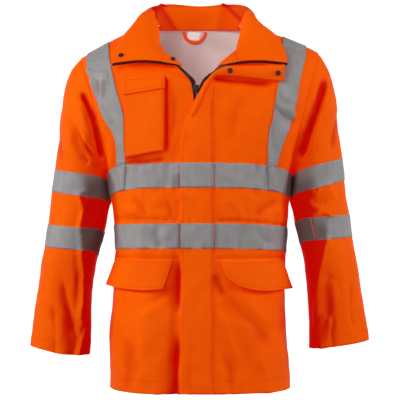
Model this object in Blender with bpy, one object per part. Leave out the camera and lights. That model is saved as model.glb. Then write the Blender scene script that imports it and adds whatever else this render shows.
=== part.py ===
"""Hi-vis work jacket in coated cloth, in its worn shape, open at the neck with its collar turned out.

Metres, +Z up, the front faces -Y. The origin is between the shoulders, where a wearer holds the jacket.
Every cloth piece is a sheet laid on a worked-out surface, closed by a second wall inside it.
Folds lie between the reflective bands, and the cloth is smooth under them.
"""

import math

import bmesh
import bpy
import numpy as np
from mathutils import Matrix, Vector

# Cloth and trim thicknesses
CLOTH = 0.0014
TAPE = 0.0010
SEAM = 0.0004
LIFT = 0.0010

# Main sizes
HEM_Z = -0.752
ARMPIT_Z = -0.302
ARMPIT_UP = 0.450
SHOULDER_UP = 0.796
ZIP_X = -0.008
ZIP_WIDTH = 0.0052
TAPE_WIDTH = 0.050
SLEEVE_TAPE_WIDTH = 0.046
SNAP_RADIUS = 0.0046
SNAP_HEIGHT = 0.0016
SNAP_GAP = 0.0004

# Grid of the main pieces
FRONT_COLUMNS = 13
FRONT_ROWS = 25
BACK_COLUMNS = 22
BACK_ROWS = 25
SLEEVE_COLUMNS = 22
ZIP_BREAK_ROW = 20
ZIP_ROWS = 33
SLEEVE_ROWS = 17

# Neckline and shoulder seam: half width and reach of the neck oval, its heights, and the seam's bow
NECK_SHARE = 0.36
NECK_HALF = 0.088
NECK_REACH = 0.070
NECK_BACK_Z = 0.009
NECK_SIDE_Z = 0.012
SHOULDER_BOW = 0.012
OPENING_UP = 0.592

# Bands round the body: top edge in the middle, and how it drops towards the right and left side seam
CHEST_TOP_Z = -0.282
CHEST_DROP = {-1: (0.0265, 3.0), 1: (0.0275, 2.3)}
WAIST_TOP_Z = -0.404
WAIST_DROP = {-1: (0.006, 2.0), 1: (0.013, 2.0)}
CALM_EDGE = 0.004
CALM_REACH = 0.030

# Roundness of the trunk from above: 1 is an ellipse, less is squarer
TRUNK_ROUND = 0.82
TRUNK_WIDTH = 0.45
SEARCH_STEPS = 18
LEFT_CUFF_RISE = 0.012

# Armhole: an oval from the shoulder point down to the armpit, hollowed towards the neck
ARMHOLE_TOP = (0.250, -0.060)
ARMHOLE_FOOT = (0.1925, -0.302)
ARMHOLE_DEPTH = 0.086
ARMHOLE_HOLLOW = 0.010

ORANGE = (0.84, 0.105, 0.0, 1)
SILVER = (0.30, 0.29, 0.29, 1)
DARK = (0.02, 0.012, 0.012, 1)


class Table:
    """Rows of named columns, read anywhere along the first column on a smooth curve."""

    def __init__(self, names, rows):
        self.names = names.split()
        self.rows = np.array(rows, float)
        self.slopes = np.gradient(self.rows, self.rows[:, 0], axis=0)

    def read(self, place):
        at = self.rows[:, 0]
        place = min(max(place, at[0]), at[-1])
        k = min(int(np.searchsorted(at, place, side="right")) - 1, len(at) - 2)
        step = at[k + 1] - at[k]
        t = (place - at[k]) / step
        low = (1 + 2 * t) * (1 - t) ** 2
        rise = t * (1 - t) ** 2 * step
        fall = t * t * (t - 1) * step
        value = low * self.rows[k] + (1 - low) * self.rows[k + 1]
        value = value + rise * self.slopes[k] + fall * self.slopes[k + 1]
        return dict(zip(self.names, value))


# Torso rings: half width, sideways shift of the middle, and reach in front and behind
TORSO = Table(
    "z half shift front back",
    (
        (-0.752, 0.1890, 0.001, 0.158, 0.150),
        (-0.700, 0.1880, -0.001, 0.156, 0.149),
        (-0.640, 0.1855, -0.004, 0.153, 0.147),
        (-0.580, 0.1820, -0.003, 0.149, 0.144),
        (-0.520, 0.1800, -0.001, 0.146, 0.141),
        (-0.470, 0.1805, 0.000, 0.145, 0.140),
        (-0.420, 0.1840, 0.001, 0.145, 0.141),
        (-0.370, 0.1860, 0.000, 0.144, 0.143),
        (-0.330, 0.1905, 0.000, 0.142, 0.146),
        (-0.302, 0.1925, 0.000, 0.141, 0.147),
    ),
)

# Front above the armpit: the inner edge runs up the zip and round the neck, the outer edge round the armhole
FRONT_TOP = (
    # up, inner x, inner y, inner z, armhole turn, arc, fullness, shoulder bow
    (0.492, 0.0004, -0.139, -0.260, 152, 88, 0.000, 0.000),
    (0.542, 0.0004, -0.133, -0.210, 128, 80, 0.004, 0.000),
    (0.592, 0.0004, -0.124, -0.160, 105, 74, 0.008, 0.000),
    (0.618, 0.0010, -0.119, -0.134, 91, 70, 0.010, 0.001),
    (0.646, 0.0120, -0.112, -0.106, 75, 68, 0.010, 0.002),
    (0.672, 0.0350, -0.102, -0.085, 59, 66, 0.010, 0.004),
    (0.702, 0.0560, -0.084, -0.068, 42, 68, 0.010, 0.006),
    (0.736, 0.0740, -0.055, -0.042, 27, 74, 0.007, 0.009),
    (0.767, 0.0840, -0.027, -0.012, 13, 80, 0.003, 0.011),
    (0.796, 0.0880, 0.000, 0.012, 0, 86, 0.000, 0.012),
)

# Back above the armpit: the middle climbs to the neck seam, and the last rows turn over the shoulder
BACK_TOP = (
    # up, inner y, inner z, armhole turn, arc, share of the neck and shoulder line
    (0.495, 0.148, -0.256, 152, 88, 0.00),
    (0.545, 0.147, -0.206, 128, 84, 0.00),
    (0.595, 0.144, -0.156, 105, 80, 0.00),
    (0.640, 0.137, -0.110, 82, 78, 0.02),
    (0.680, 0.125, -0.070, 60, 76, 0.10),
    (0.715, 0.109, -0.036, 42, 76, 0.28),
    (0.745, 0.092, -0.012, 26, 78, 0.55),
    (0.772, 0.079, 0.002, 12, 82, 0.82),
    (0.796, 0.070, 0.009, 0, 86, 1.00),
)

# Sleeve rings: the outer and inner lines seen from the front, and the reach fore and aft
SLEEVE = Table(
    "along outer_x outer_z inner_x inner_z depth mid_y hollow",
    (
        (0.000, 0.2509, -0.0602, 0.1934, -0.3022, 0.0860, 0.000, 0.0100),
        (0.028, 0.2675, -0.0760, 0.2005, -0.3080, 0.0890, 0.001, 0.0060),
        (0.060, 0.2790, -0.1030, 0.2000, -0.3140, 0.0910, 0.002, 0.0020),
        (0.100, 0.2870, -0.1430, 0.1985, -0.3210, 0.0910, 0.002, 0.0000),
        (0.145, 0.2930, -0.1900, 0.1970, -0.3300, 0.0895, 0.001, 0.0000),
        (0.195, 0.2990, -0.2430, 0.1950, -0.3410, 0.0870, -0.001, 0.0000),
        (0.245, 0.3055, -0.3000, 0.1930, -0.3560, 0.0840, -0.003, 0.0000),
        (0.295, 0.3120, -0.3560, 0.1940, -0.3780, 0.0810, -0.006, 0.0000),
        (0.345, 0.3185, -0.4090, 0.2005, -0.4130, 0.0780, -0.009, 0.0000),
        (0.395, 0.3260, -0.4580, 0.2120, -0.4600, 0.0735, -0.012, 0.0000),
        (0.445, 0.3345, -0.5120, 0.2225, -0.5170, 0.0690, -0.015, 0.0000),
        (0.505, 0.3440, -0.5750, 0.2265, -0.5850, 0.0640, -0.019, 0.0000),
        (0.590, 0.3545, -0.6590, 0.2280, -0.6780, 0.0575, -0.024, 0.0000),
    ),
)

# Collar sections from the turned-out front end to the middle of the back: the neck seam,
# the free edge, and how far the cloth humps up between them
COLLAR = Table(
    "round seam_x seam_y seam_z edge_x edge_y edge_z hump",
    (
        (0.00, 0.0790, -0.1120, -0.0760, 0.1770, -0.1130, -0.0800, 0.004),
        (0.14, 0.0740, -0.0860, -0.0580, 0.1750, -0.0880, -0.0570, 0.012),
        (0.28, 0.0765, -0.0560, -0.0390, 0.1680, -0.0570, -0.0330, 0.020),
        (0.42, 0.0852, -0.0265, -0.0095, 0.1560, -0.0240, -0.0050, 0.026),
        (0.54, 0.0885, 0.0000, 0.0135, 0.1360, 0.0110, 0.0220, 0.023),
        (0.62, 0.0850, 0.0192, 0.0129, 0.1210, 0.0360, 0.0400, 0.016),
        (0.70, 0.0754, 0.0368, 0.0126, 0.1050, 0.0620, 0.0560, 0.010),
        (0.78, 0.0602, 0.0516, 0.0120, 0.0840, 0.0920, 0.0640, 0.006),
        (0.86, 0.0406, 0.0625, 0.0114, 0.0580, 0.1200, 0.0690, 0.003),
        (0.93, 0.0208, 0.0684, 0.0107, 0.0290, 0.1310, 0.0665, 0.002),
        (1.00, 0.0000, 0.0704, 0.0100, 0.0000, 0.1350, 0.0650, 0.002),
    ),
)

# Storm flap turned over with the collar: its edge by the zip and its free edge
TURNED_FLAP = Table(
    "along zip_x zip_z free_x free_z depth",
    (
        (0.00, -0.0200, -0.1850, -0.0150, -0.1900, 0.1385),
        (0.10, -0.0100, -0.1610, 0.0000, -0.1650, 0.1370),
        (0.20, -0.0005, -0.1370, 0.0098, -0.1380, 0.1335),
        (0.29, 0.0115, -0.1170, 0.0215, -0.1170, 0.1300),
        (0.37, 0.0275, -0.0985, 0.0285, -0.1065, 0.1265),
        (0.46, 0.0460, -0.0880, 0.0440, -0.1060, 0.1240),
        (0.58, 0.0720, -0.0855, 0.0720, -0.1070, 0.1205),
        (0.72, 0.1030, -0.0855, 0.1030, -0.1100, 0.1190),
        (0.86, 0.1360, -0.0845, 0.1370, -0.1140, 0.1180),
        (1.00, 0.1720, -0.0830, 0.1715, -0.1180, 0.1160),
    ),
)

# Storm flap lying over the zip: its free edge, from the hem up
STORM_FLAP = Table(
    "z free_x",
    (
        (-0.751, -0.0380),
        (-0.600, -0.0380),
        (-0.400, -0.0375),
        (-0.250, -0.0370),
        (-0.215, -0.0335),
        (-0.190, -0.0275),
        (-0.165, -0.0165),
        (-0.140, -0.0010),
        (-0.118, 0.0105),
    ),
)
STORM_FLAP_SEAM_X = 0.027
STORM_FLAP_STAND = 0.0030

# Soft ridges (+) and troughs (-) of the worn cloth: from one point to another, width and height
FRONT_FOLDS = {
    -1: (
        (-0.052, -0.52, -0.052, -0.75, 0.014, -0.006),
        (-0.088, -0.56, -0.118, -0.75, 0.026, 0.006),
        (-0.075, -0.55, -0.130, -0.60, 0.020, -0.003),
    ),
    1: (
        (0.060, -0.56, 0.150, -0.68, 0.024, 0.006),
        (0.045, -0.60, 0.110, -0.74, 0.020, -0.004),
        (0.070, -0.54, 0.085, -0.57, 0.014, -0.004),
    ),
}
BACK_FOLDS = (
    (0.030, -0.10, 0.085, -0.23, 0.022, 0.004),
    (-0.020, -0.12, -0.080, -0.24, 0.020, 0.004),
    (-0.110, -0.53, -0.080, -0.74, 0.026, 0.007),
    (0.030, -0.54, 0.045, -0.75, 0.030, -0.006),
    (0.125, -0.53, 0.120, -0.72, 0.024, 0.006),
)
# On a sleeve: turn in degrees (0 outside, 90 front, 180 inside) and length down the sleeve
SLEEVE_FOLDS = {
    -1: (
        (60, 0.05, 118, 0.23, 0.016, -0.007),
        (40, 0.07, 75, 0.24, 0.018, 0.004),
        (100, 0.07, 150, 0.19, 0.013, 0.004),
        (118, 0.30, 100, 0.40, 0.018, -0.005),
        (82, 0.43, 118, 0.56, 0.014, -0.006),
        (140, 0.42, 122, 0.57, 0.015, 0.004),
        (-70, 0.08, -130, 0.25, 0.020, -0.006),
        (-100, 0.32, -70, 0.50, 0.020, 0.005),
    ),
    1: (
        (58, 0.04, 112, 0.22, 0.016, -0.006),
        (125, 0.20, 80, 0.28, 0.020, -0.005),
        (112, 0.30, 92, 0.38, 0.020, 0.004),
        (105, 0.45, 128, 0.57, 0.014, -0.006),
        (60, 0.38, 92, 0.44, 0.016, 0.004),
        (-60, 0.10, -120, 0.26, 0.020, -0.006),
        (-110, 0.34, -80, 0.52, 0.020, 0.005),
    ),
}
SLEEVE_RADIUS = 0.075


# Filled in when first read: each panel's corner points and normals
PANEL_GRIDS = {}


def relief(folds, x, z):
    """Height of all the folds at one place."""
    height = 0.0
    for x0, z0, x1, z1, width, rise in folds:
        run = (x1 - x0, z1 - z0)
        length = run[0] ** 2 + run[1] ** 2
        along = ((x - x0) * run[0] + (z - z0) * run[1]) / length
        along = min(max(along, 0.0), 1.0)
        away = math.hypot(x - x0 - along * run[0], z - z0 - along * run[1])
        height += rise * math.exp(-((away / width) ** 2))
    return height


def calm(z, band_top):
    """0 under a band and 30 mm beyond it 1, so that a band lies on smooth cloth."""
    away = abs(z - band_top + TAPE_WIDTH / 2) - TAPE_WIDTH / 2 - CALM_EDGE
    share = min(max(away / CALM_REACH, 0.0), 1.0)
    return share * share * (3 - 2 * share)


def chest_top(side, across):
    """Top edge of the chest band, level in front and dropping to the side seam."""
    drop, power = CHEST_DROP[side]
    return CHEST_TOP_Z - drop * across ** power


def waist_top(side, across):
    drop, power = WAIST_DROP[side]
    return WAIST_TOP_Z - drop * across ** power


def armhole(turn):
    """Place on the armhole, from the shoulder point (0 degrees) round the front to the armpit (180)."""
    turn = math.radians(turn)
    mid = (1 + math.cos(turn)) / 2
    x = ARMHOLE_FOOT[0] + (ARMHOLE_TOP[0] - ARMHOLE_FOOT[0]) * mid
    z = ARMHOLE_FOOT[1] + (ARMHOLE_TOP[1] - ARMHOLE_FOOT[1]) * mid
    return x - ARMHOLE_HOLLOW * math.sin(turn) ** 2, -ARMHOLE_DEPTH * math.sin(turn), z


def panel_table(top, face):
    """Inner and outer edge of a panel, from the hem to the shoulder seam. face is -1 in front, 1 behind."""
    rows = []
    for z, half, _, front, back in TORSO.rows:
        reach = -front if face < 0 else back
        inner = SEAM if face < 0 else 0.0
        rows.append((z - HEM_Z, inner, reach, z, half, 0.0, z, 90, 0.0, 0.0, 0.0, TRUNK_ROUND))
    for row in top:
        if face < 0:
            up, x, y, z, turn, arc, full, bow = row
            neck = 0.0
        else:
            up, y, z, turn, arc, neck = row
            x, full, bow = 0.0, 0.0, 0.0
        side = armhole(turn)
        square = TRUNK_ROUND + (1 - TRUNK_ROUND) * min(1.0, (up - ARMPIT_UP) / 0.15)
        rows.append((up, x, y, z, side[0], -face * side[1], side[2], arc, full, bow, neck, square))
    table = Table("up in_x in_y in_z out_x out_y out_z arc full bow neck square", rows)
    table.slopes[table.rows[:, 0] < ARMPIT_UP + 0.001, 5] = 0
    return table


FRONT = panel_table(FRONT_TOP, -1)
BACK = panel_table(BACK_TOP, 1)


def neck_and_shoulder(across):
    """The back's top edge: the neckline from the middle, then the shoulder seam to the armhole."""
    if across < NECK_SHARE:
        turn = math.radians(90 * across / NECK_SHARE)
        rise = (NECK_SIDE_Z - NECK_BACK_Z) * math.sin(turn)
        return NECK_HALF * math.sin(turn), NECK_REACH * math.cos(turn), NECK_BACK_Z + rise
    t = (across - NECK_SHARE) / (1 - NECK_SHARE)
    x = NECK_HALF + (ARMHOLE_TOP[0] - NECK_HALF) * t
    z = NECK_SIDE_Z + (ARMHOLE_TOP[1] - NECK_SIDE_Z) * t + SHOULDER_BOW * math.sin(math.pi * t)
    return x, 0.0, z


def base_point(face, side, across, up):
    """A place on the smooth torso. across runs 0 to 1 from the middle to the side, up from the hem."""
    row = (FRONT if face < 0 else BACK).read(up)
    arc = math.radians(row["arc"])
    turn = arc * across
    out = (max(math.sin(turn), 0.0) / math.sin(arc)) ** row["square"]
    if across < 0:
        out = across
    level = max((math.cos(turn) - math.cos(arc)) / (1 - math.cos(arc)), 0.0)
    reach = level ** row["square"]
    x = row["in_x"] + (row["out_x"] - row["in_x"]) * out
    y = row["out_y"] + (row["in_y"] - row["out_y"]) * reach
    z = row["in_z"] + (row["out_z"] - row["in_z"]) * out
    y += face * row["full"] * math.sin(math.pi * min(max(across, 0.0), 1.0))
    z += row["bow"] * math.sin(math.pi * min(max(out, 0.0), 1.0))
    if row["neck"] > 0:
        top = neck_and_shoulder(min(max(across, 0.0), 1.0))
        x, y, z = (a + (b - a) * row["neck"] for a, b in zip((x, y, z), top))
    y += face * SEAM / 2
    shift = TORSO.read(z)["shift"] if z < ARMPIT_Z else 0.0
    if face < 0:
        opening = min(max((up - OPENING_UP) / (SHOULDER_UP - OPENING_UP), 0.0), 1.0)
        shift += ZIP_X * (1 - min(opening * 2.2, 1.0)) * (1 - min(max(out, 0.0), 1.0))
    return Vector((side * x + shift, y, z))


def frame(point, a, b, flip):
    """Place and outward normal of a surface given as a function of two numbers."""
    step = 0.002
    here = point(a, b)
    along_a = point(a + step, b) - point(a - step, b)
    along_b = point(a, b + step) - point(a, b - step)
    return here, (along_a.cross(along_b) * flip).normalized()


def torso(face, side, across, up, lift=0.0):
    """A place on the folded torso, lifted off it by a given distance."""
    near = min(max(across, 0.004), 0.996)
    level = min(max(up, 0.003), SHOULDER_UP - 0.003)
    _, normal = frame(lambda a, b: base_point(face, side, a, b), near, level, -side * face)
    here = base_point(face, side, across, up)
    folds = FRONT_FOLDS[side] if face < 0 else BACK_FOLDS
    fade = min(1.0, (SHOULDER_UP - up) / 0.08) * min(1.0, (1.02 - across) / 0.1)
    fade *= calm(here.z, chest_top(side, max(across, 0.0))) * calm(here.z, waist_top(side, across))
    return here + normal * (relief(folds, here.x, here.z) * max(fade, 0.0) + lift)


def zip_share(up):
    """The share of a front's width that the zip takes."""
    row = FRONT.read(up)
    return 0.78 * (ZIP_WIDTH + SEAM) / (row["out_x"] - row["in_x"])


def panel_grid(face, side):
    """The corner points of a front's or half a back's faces, and their normals, as two arrays."""
    columns, rows = (FRONT_COLUMNS, FRONT_ROWS) if face < 0 else (BACK_COLUMNS // 2, BACK_ROWS)
    spots = np.zeros((columns + 1, rows + 1, 3))
    for j in range(rows + 1):
        up = SHOULDER_UP * j / rows
        start = zip_share(up) if face < 0 else 0.0
        for i in range(columns + 1):
            spots[i, j] = torso(face, side, start + (1 - start) * i / columns, up)
    normals = np.cross(np.gradient(spots, axis=0), np.gradient(spots, axis=1)) * -side * face
    return spots, normals / np.linalg.norm(normals, axis=2, keepdims=True)


def on_panel(face, side, across, up, lift):
    """A place on a panel's own faces, moved out by a distance."""
    if (face, side) not in PANEL_GRIDS:
        PANEL_GRIDS[face, side] = panel_grid(face, side)
    spots, normals = PANEL_GRIDS[face, side]
    columns, rows = spots.shape[0] - 1, spots.shape[1] - 1
    start = zip_share(up) if face < 0 else 0.0
    i = min(max((across - start) / (1 - start) * columns, 0.0), columns - 1e-6)
    j = min(max(up / SHOULDER_UP * rows, 0.0), rows - 1e-6)
    i0, j0 = int(i), int(j)
    u, v = i - i0, j - j0
    weights = ((i0, j0, (1 - u) * (1 - v)), (i0 + 1, j0, u * (1 - v)),
               (i0, j0 + 1, (1 - u) * v), (i0 + 1, j0 + 1, u * v))
    spot = sum(spots[a, b] * weight for a, b, weight in weights)
    normal = sum(normals[a, b] * weight for a, b, weight in weights)
    return Vector(spot + normal / np.linalg.norm(normal) * lift)


def up_at(face, side, across, z):
    """How far up the panel a height lies."""
    low, high = 0.0, SHOULDER_UP
    for _ in range(26):
        up = (low + high) / 2
        if base_point(face, side, across, up).z < z:
            low = up
        else:
            high = up
    return (low + high) / 2


def on_front(x, z, lift):
    """The place on the front that shows at x and z, lifted off it."""
    side = 1 if x > ZIP_X else -1
    across = 0.3
    for _ in range(SEARCH_STEPS):
        up = up_at(-1, side, across, z)
        miss = (x - base_point(-1, side, across, up).x) * side
        across = min(max(across + miss / TRUNK_WIDTH, 0.0), 0.985)
    return torso(-1, side, across, up, lift)


def sleeve(side, turn, along, lift=0.0):
    """A place on a sleeve: turn in degrees round it, along from the armhole to the cuff."""
    def smooth(turn, along):
        row = SLEEVE.read(along)
        angle = math.radians(turn)
        mid = (1 + math.cos(angle)) / 2
        x = row["inner_x"] + (row["outer_x"] - row["inner_x"]) * mid
        z = row["inner_z"] + (row["outer_z"] - row["inner_z"]) * mid
        x -= row["hollow"] * math.sin(angle) ** 2
        if side > 0:
            z += LEFT_CUFF_RISE * max(0.0, (along - 0.15) / 0.44)
        return Vector((side * x, row["mid_y"] - row["depth"] * math.sin(angle), z))

    end = SLEEVE.rows[-1][0]
    level = min(max(along, 0.003), end - 0.003)
    step = Vector((1.0, 0.002))
    around = smooth(turn + step.x, level) - smooth(turn - step.x, level)
    down = smooth(turn, level + step.y) - smooth(turn, level - step.y)
    normal = (around.cross(down) * side).normalized()
    angle = (turn + 180) % 360 - 180
    folds = [(math.radians(a) * SLEEVE_RADIUS, p, math.radians(b) * SLEEVE_RADIUS, q, w, h)
             for a, p, b, q, w, h in SLEEVE_FOLDS[side]]
    fade = min(1.0, along / 0.05) * min(1.0, (end - along) / 0.02 + 0.4)
    height = relief(folds, math.radians(angle) * SLEEVE_RADIUS, along) * fade
    if abs(angle) > 140:
        height *= max(0.0, 1 - (abs(angle) - 140) / 25)
    here = smooth(turn, along)
    for _, band_side, outer_z, inner_z, _ in SLEEVE_BANDS:
        if band_side == side:
            height *= calm(here.z, band_top_at(angle, outer_z, inner_z))
    return here + normal * (height + lift)


# Sleeve bands: top edge outside and inside, and where round the sleeve its two ends meet
SLEEVE_BANDS = (
    # name, side, outer z, inner z, column of the sleeve where the ends meet
    ("upper", -1, -0.2935, -0.3100, 1),
    ("lower", -1, -0.4075, -0.4160, 1),
    ("upper", 1, -0.2695, -0.2985, -1),
    ("lower", 1, -0.3870, -0.3950, 4),
)


UNDERARM_DIP = 0.012
BAND_END_GAP = 0.0035


def band_top_at(angle, outer_z, inner_z):
    """Top edge of a sleeve band at an angle round the sleeve. It dips under the arm."""
    angle = abs((angle + 180) % 360 - 180)
    share = (1 - math.cos(math.radians(angle))) / 2
    return outer_z + (inner_z - outer_z) * share - UNDERARM_DIP * max(0.0, (angle - 120) / 60) ** 2


def collar(side, round_neck, rise):
    """A place on the collar: round_neck from the front end to the back, rise from the seam to the edge."""
    row = COLLAR.read(round_neck)
    seam = Vector((row["seam_x"], row["seam_y"], row["seam_z"]))
    edge = Vector((row["edge_x"], row["edge_y"], row["edge_z"]))
    place = seam.lerp(edge, rise)
    place.z += row["hump"] * 4 * rise * (1 - rise)
    return Vector((side * place.x, place.y, place.z))


# The jacket hangs a little unevenly. Each pull has a middle and a reach in x and z, and a move in x and z.
PULLS = (
    (0.252, -0.052, 0.042, 0.060, 0.0000, 0.0110),
    (-0.205, -0.030, 0.035, 0.050, 0.0000, -0.0035),
    (0.136, 0.018, 0.034, 0.032, -0.0170, -0.0010),
    (-0.146, 0.008, 0.030, 0.030, 0.0060, 0.0000),
    (0.300, -0.400, 0.110, 0.300, -0.0045, 0.0000),
    (-0.285, -0.690, 0.034, 0.050, 0.0000, -0.0055),
    (0.000, -0.765, 0.450, 0.080, 0.0000, 0.0065),
    (-0.190, -0.410, 0.050, 0.090, 0.0040, 0.0000),
)


def hang(spot):
    """Where a place ends up once all the pulls have moved it."""
    move = Vector((0, 0, 0))
    for x, z, reach_x, reach_z, move_x, move_z in PULLS:
        share = math.exp(-(((spot.x - x) / reach_x) ** 2) - ((spot.z - z) / reach_z) ** 2)
        move += Vector((move_x, 0, move_z)) * share
    return spot + move


# ---- making objects ----
parts = bpy.data.collections.new("hi_vis_jacket")


def material(name, colour, rough, metallic=0.0):
    made = bpy.data.materials.new(name)
    made.use_nodes = True
    shader = made.node_tree.nodes["Principled BSDF"]
    shader.inputs["Base Color"].default_value = colour
    shader.inputs["Roughness"].default_value = rough
    shader.inputs["Metallic"].default_value = metallic
    return made


def place(name, mesh, finish):
    mesh.materials.append(finish)
    made = bpy.data.objects.new(name, mesh)
    parts.objects.link(made)
    return made


def sheet(name, point, columns, rows, thick, finish, around=False, seam_normal=None):
    """A cloth piece: a grid laid on point(a, b), a and b from 0 to 1, closed by a second wall inside it.

    seam_normal(a, b, normal) turns the wall's direction at a seam, so that both pieces end on one plane.
    """
    mesh = bpy.data.meshes.new(name)
    work = bmesh.new()
    bmesh.ops.create_grid(work, x_segments=columns, y_segments=rows, size=0.5)
    spots = {}
    for vertex in work.verts:
        spot = (vertex.co.x + 0.5, vertex.co.y + 0.5)
        vertex.co = hang(point(*spot))
        spots[vertex.index] = spot
    outer = list(work.verts)
    if around:
        bmesh.ops.remove_doubles(work, verts=work.verts, dist=0.00005)
        outer = [vertex for vertex in outer if vertex.is_valid]
    work.normal_update()
    inward = {}
    for vertex in outer:
        normal = vertex.normal.copy()
        if seam_normal:
            normal = seam_normal(*spots[vertex.index], normal)
        inward[vertex] = normal * thick
    rims = [edge for edge in work.edges if edge.is_boundary]
    copies = bmesh.ops.duplicate(work, geom=outer + list(work.edges) + list(work.faces))
    twins = copies["vert_map"]
    for vertex in outer:
        twins[vertex].co = vertex.co - inward[vertex]
    flipped = [item for item in copies["geom"] if isinstance(item, bmesh.types.BMFace)]
    bmesh.ops.reverse_faces(work, faces=flipped)
    for edge in rims:
        first, last = edge.verts
        if edge.link_loops[0].vert is not first:
            first, last = last, first
        work.faces.new((last, first, twins[first], twins[last]))
    work.to_mesh(mesh)
    work.free()
    mesh.shade_smooth()
    mesh.set_sharp_from_angle(angle=math.radians(40))
    return place(name, mesh, finish)


def sides(side):
    return "right" if side < 0 else "left"


def without(normal, axis, share=1.0):
    """A direction with a share of its part along an axis taken out."""
    return (normal - axis * (normal.dot(axis) * share)).normalized()


def armhole_axis(side):
    rise = Vector((ARMHOLE_TOP[0] - ARMHOLE_FOOT[0], 0, ARMHOLE_TOP[1] - ARMHOLE_FOOT[1]))
    return Vector((side * rise.z, 0, -rise.x)).normalized()


def panel_seam(face, side, across, up, normal):
    """The wall direction where a front or the back meets its neighbours."""
    if across > 0.999 and up > ARMPIT_UP + 0.02:
        near_armpit = min(max((up - ARMPIT_UP - 0.02) / 0.08, 0.0), 1.0)
        normal = without(normal, armhole_axis(side), near_armpit)
    elif across > 0.999:
        normal = without(normal, Vector((0, 1, 0)))
    if up > SHOULDER_UP - 0.0001 and (face < 0 or across > NECK_SHARE):
        normal = without(normal, Vector((0, 1, 0)))
    return normal


def front_piece(side, finish):
    """A front, from the zip to the side seam and up to the shoulder."""
    def spot(a, b):
        a = 1 - a if side < 0 else a
        up = b * SHOULDER_UP
        return zip_share(up) + (1 - zip_share(up)) * a, up

    def seam(a, b, normal):
        return panel_seam(-1, side, *spot(a, b), normal)

    sheet("front_" + sides(side), lambda a, b: torso(-1, side, *spot(a, b)), FRONT_COLUMNS, FRONT_ROWS,
          CLOTH, finish, seam_normal=seam)


def back_piece(finish):
    """The back, in one piece from side seam to side seam."""
    def spot(a, b):
        across = 1 - 2 * a
        return (1 if across >= 0 else -1), abs(across), b * SHOULDER_UP

    def seam(a, b, normal):
        side, across, up = spot(a, b)
        return panel_seam(1, side, across, up, normal)

    sheet("back", lambda a, b: torso(1, *spot(a, b)), BACK_COLUMNS, BACK_ROWS,
          CLOTH, finish, seam_normal=seam)


def sleeve_piece(side, finish):
    """A sleeve, a tube from the armhole to the cuff."""
    end = SLEEVE.rows[-1][0]

    def point(a, b):
        return sleeve(side, 180 - side * 360 * a, (1 - b) * end)

    def seam(a, b, normal):
        return without(normal, armhole_axis(side)) if b > 0.999 else normal

    sheet("sleeve_" + sides(side), point, SLEEVE_COLUMNS, SLEEVE_ROWS,
          CLOTH, finish, around=True, seam_normal=seam)


def collar_piece(finish):
    """The collar, from one front end round the neck to the other."""
    def point(a, b):
        side = -1 if a < 0.5 else 1
        return collar(side, 1 - abs(2 * a - 1), b)
    sheet("collar", lambda a, b: point(a, 1 - b), 30, 6, CLOTH, finish)


# The lapel's lowest corner, where the zip opens, and the share of the turned-out zip that lies on the lapel
LAPEL_FOOT = (0.0365, -0.1085, -0.0855)
LAPEL_NECK = 0.22
LAPEL_FULLNESS = 0.005
ZIP_ON_LAPEL = 0.34
ZIP_INSET = 0.0002


def lapel_point(side, a, b):
    """The turned-out top corner of a front: a from the break to the neck seam, b from the zip to the roll."""
    seam = collar(side, LAPEL_NECK * b, 0.0) - Vector((side * SEAM, 0, 0))
    x, y, z = LAPEL_FOOT
    low = Vector((side * x, y + 0.004 * b, z + 0.0035 * b))
    place_here = low.lerp(seam, a)
    place_here.y -= LAPEL_FULLNESS * math.sin(math.pi * a)
    return place_here


def lapel_piece(side, finish):
    sheet("lapel_" + sides(side), lambda a, b: lapel_point(side, a if side > 0 else 1 - a, b),
          5, 3, CLOTH, finish)


def zip_point(side, row, width):
    """A zip half: row by row from the hem to the collar's end, width from the cloth (0) to the teeth (1)."""
    if row <= ZIP_BREAK_ROW:
        up = SHOULDER_UP * row / FRONT_ROWS
        return torso(-1, side, zip_share(up) * (1 - width) * 0.92, up)
    t = (row - ZIP_BREAK_ROW) / (ZIP_ROWS - ZIP_BREAK_ROW)
    if t < ZIP_ON_LAPEL:
        edge = lapel_point(side, t / ZIP_ON_LAPEL, 0.0)
    else:
        edge = collar(side, 0.0, (t - ZIP_ON_LAPEL) / (1 - ZIP_ON_LAPEL))
    turn = min(t / ZIP_ON_LAPEL, 1.0) * math.pi / 2
    lean = Vector((-side * 0.25 * math.cos(turn), -math.cos(turn), -math.sin(turn)))
    return edge + Vector((0, -ZIP_INSET, -SEAM)) + lean.normalized() * (width * ZIP_WIDTH + ZIP_INSET)


def zip_piece(side, finish):
    def point(a, b):
        return zip_point(side, round(b * ZIP_ROWS), 1 - a if side > 0 else a)
    sheet("zip_" + sides(side), point, 2, ZIP_ROWS, CLOTH, finish)


def storm_flap_lift(a):
    """How far the storm flap stands off the fronts: a from its free edge (0) to its seam (1)."""
    return LIFT + CLOTH + STORM_FLAP_STAND * min(1.0, (1 - a) * 2.5) ** 0.5


def storm_flap_spot(a, z):
    free = STORM_FLAP.read(z)["free_x"]
    return free + (STORM_FLAP_SEAM_X - free) * a


def storm_flap_piece(finish):
    bottom = STORM_FLAP.rows[0][0]
    top = STORM_FLAP.rows[-1][0]

    def point(a, b):
        z = bottom + (top - bottom) * b
        return on_front(storm_flap_spot(a, z), z, storm_flap_lift(a))
    sheet("storm_flap", point, 5, 26, CLOTH, finish)


def turned_flap_point(across, along):
    """A place on the turned top: across from the zip's side to the free edge, along from the foot out."""
    row = TURNED_FLAP.read(along)
    x = row["zip_x"] + (row["free_x"] - row["zip_x"]) * across
    z = row["zip_z"] + (row["free_z"] - row["zip_z"]) * across
    return Vector((x, -row["depth"] - 0.0006 - 0.003 * math.sin(math.pi * across), z))


def turned_flap_piece(finish):
    """The storm flap's top, turned over with the collar."""
    sheet("storm_flap_top", turned_flap_point, 3, 18, CLOTH, finish)


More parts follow.
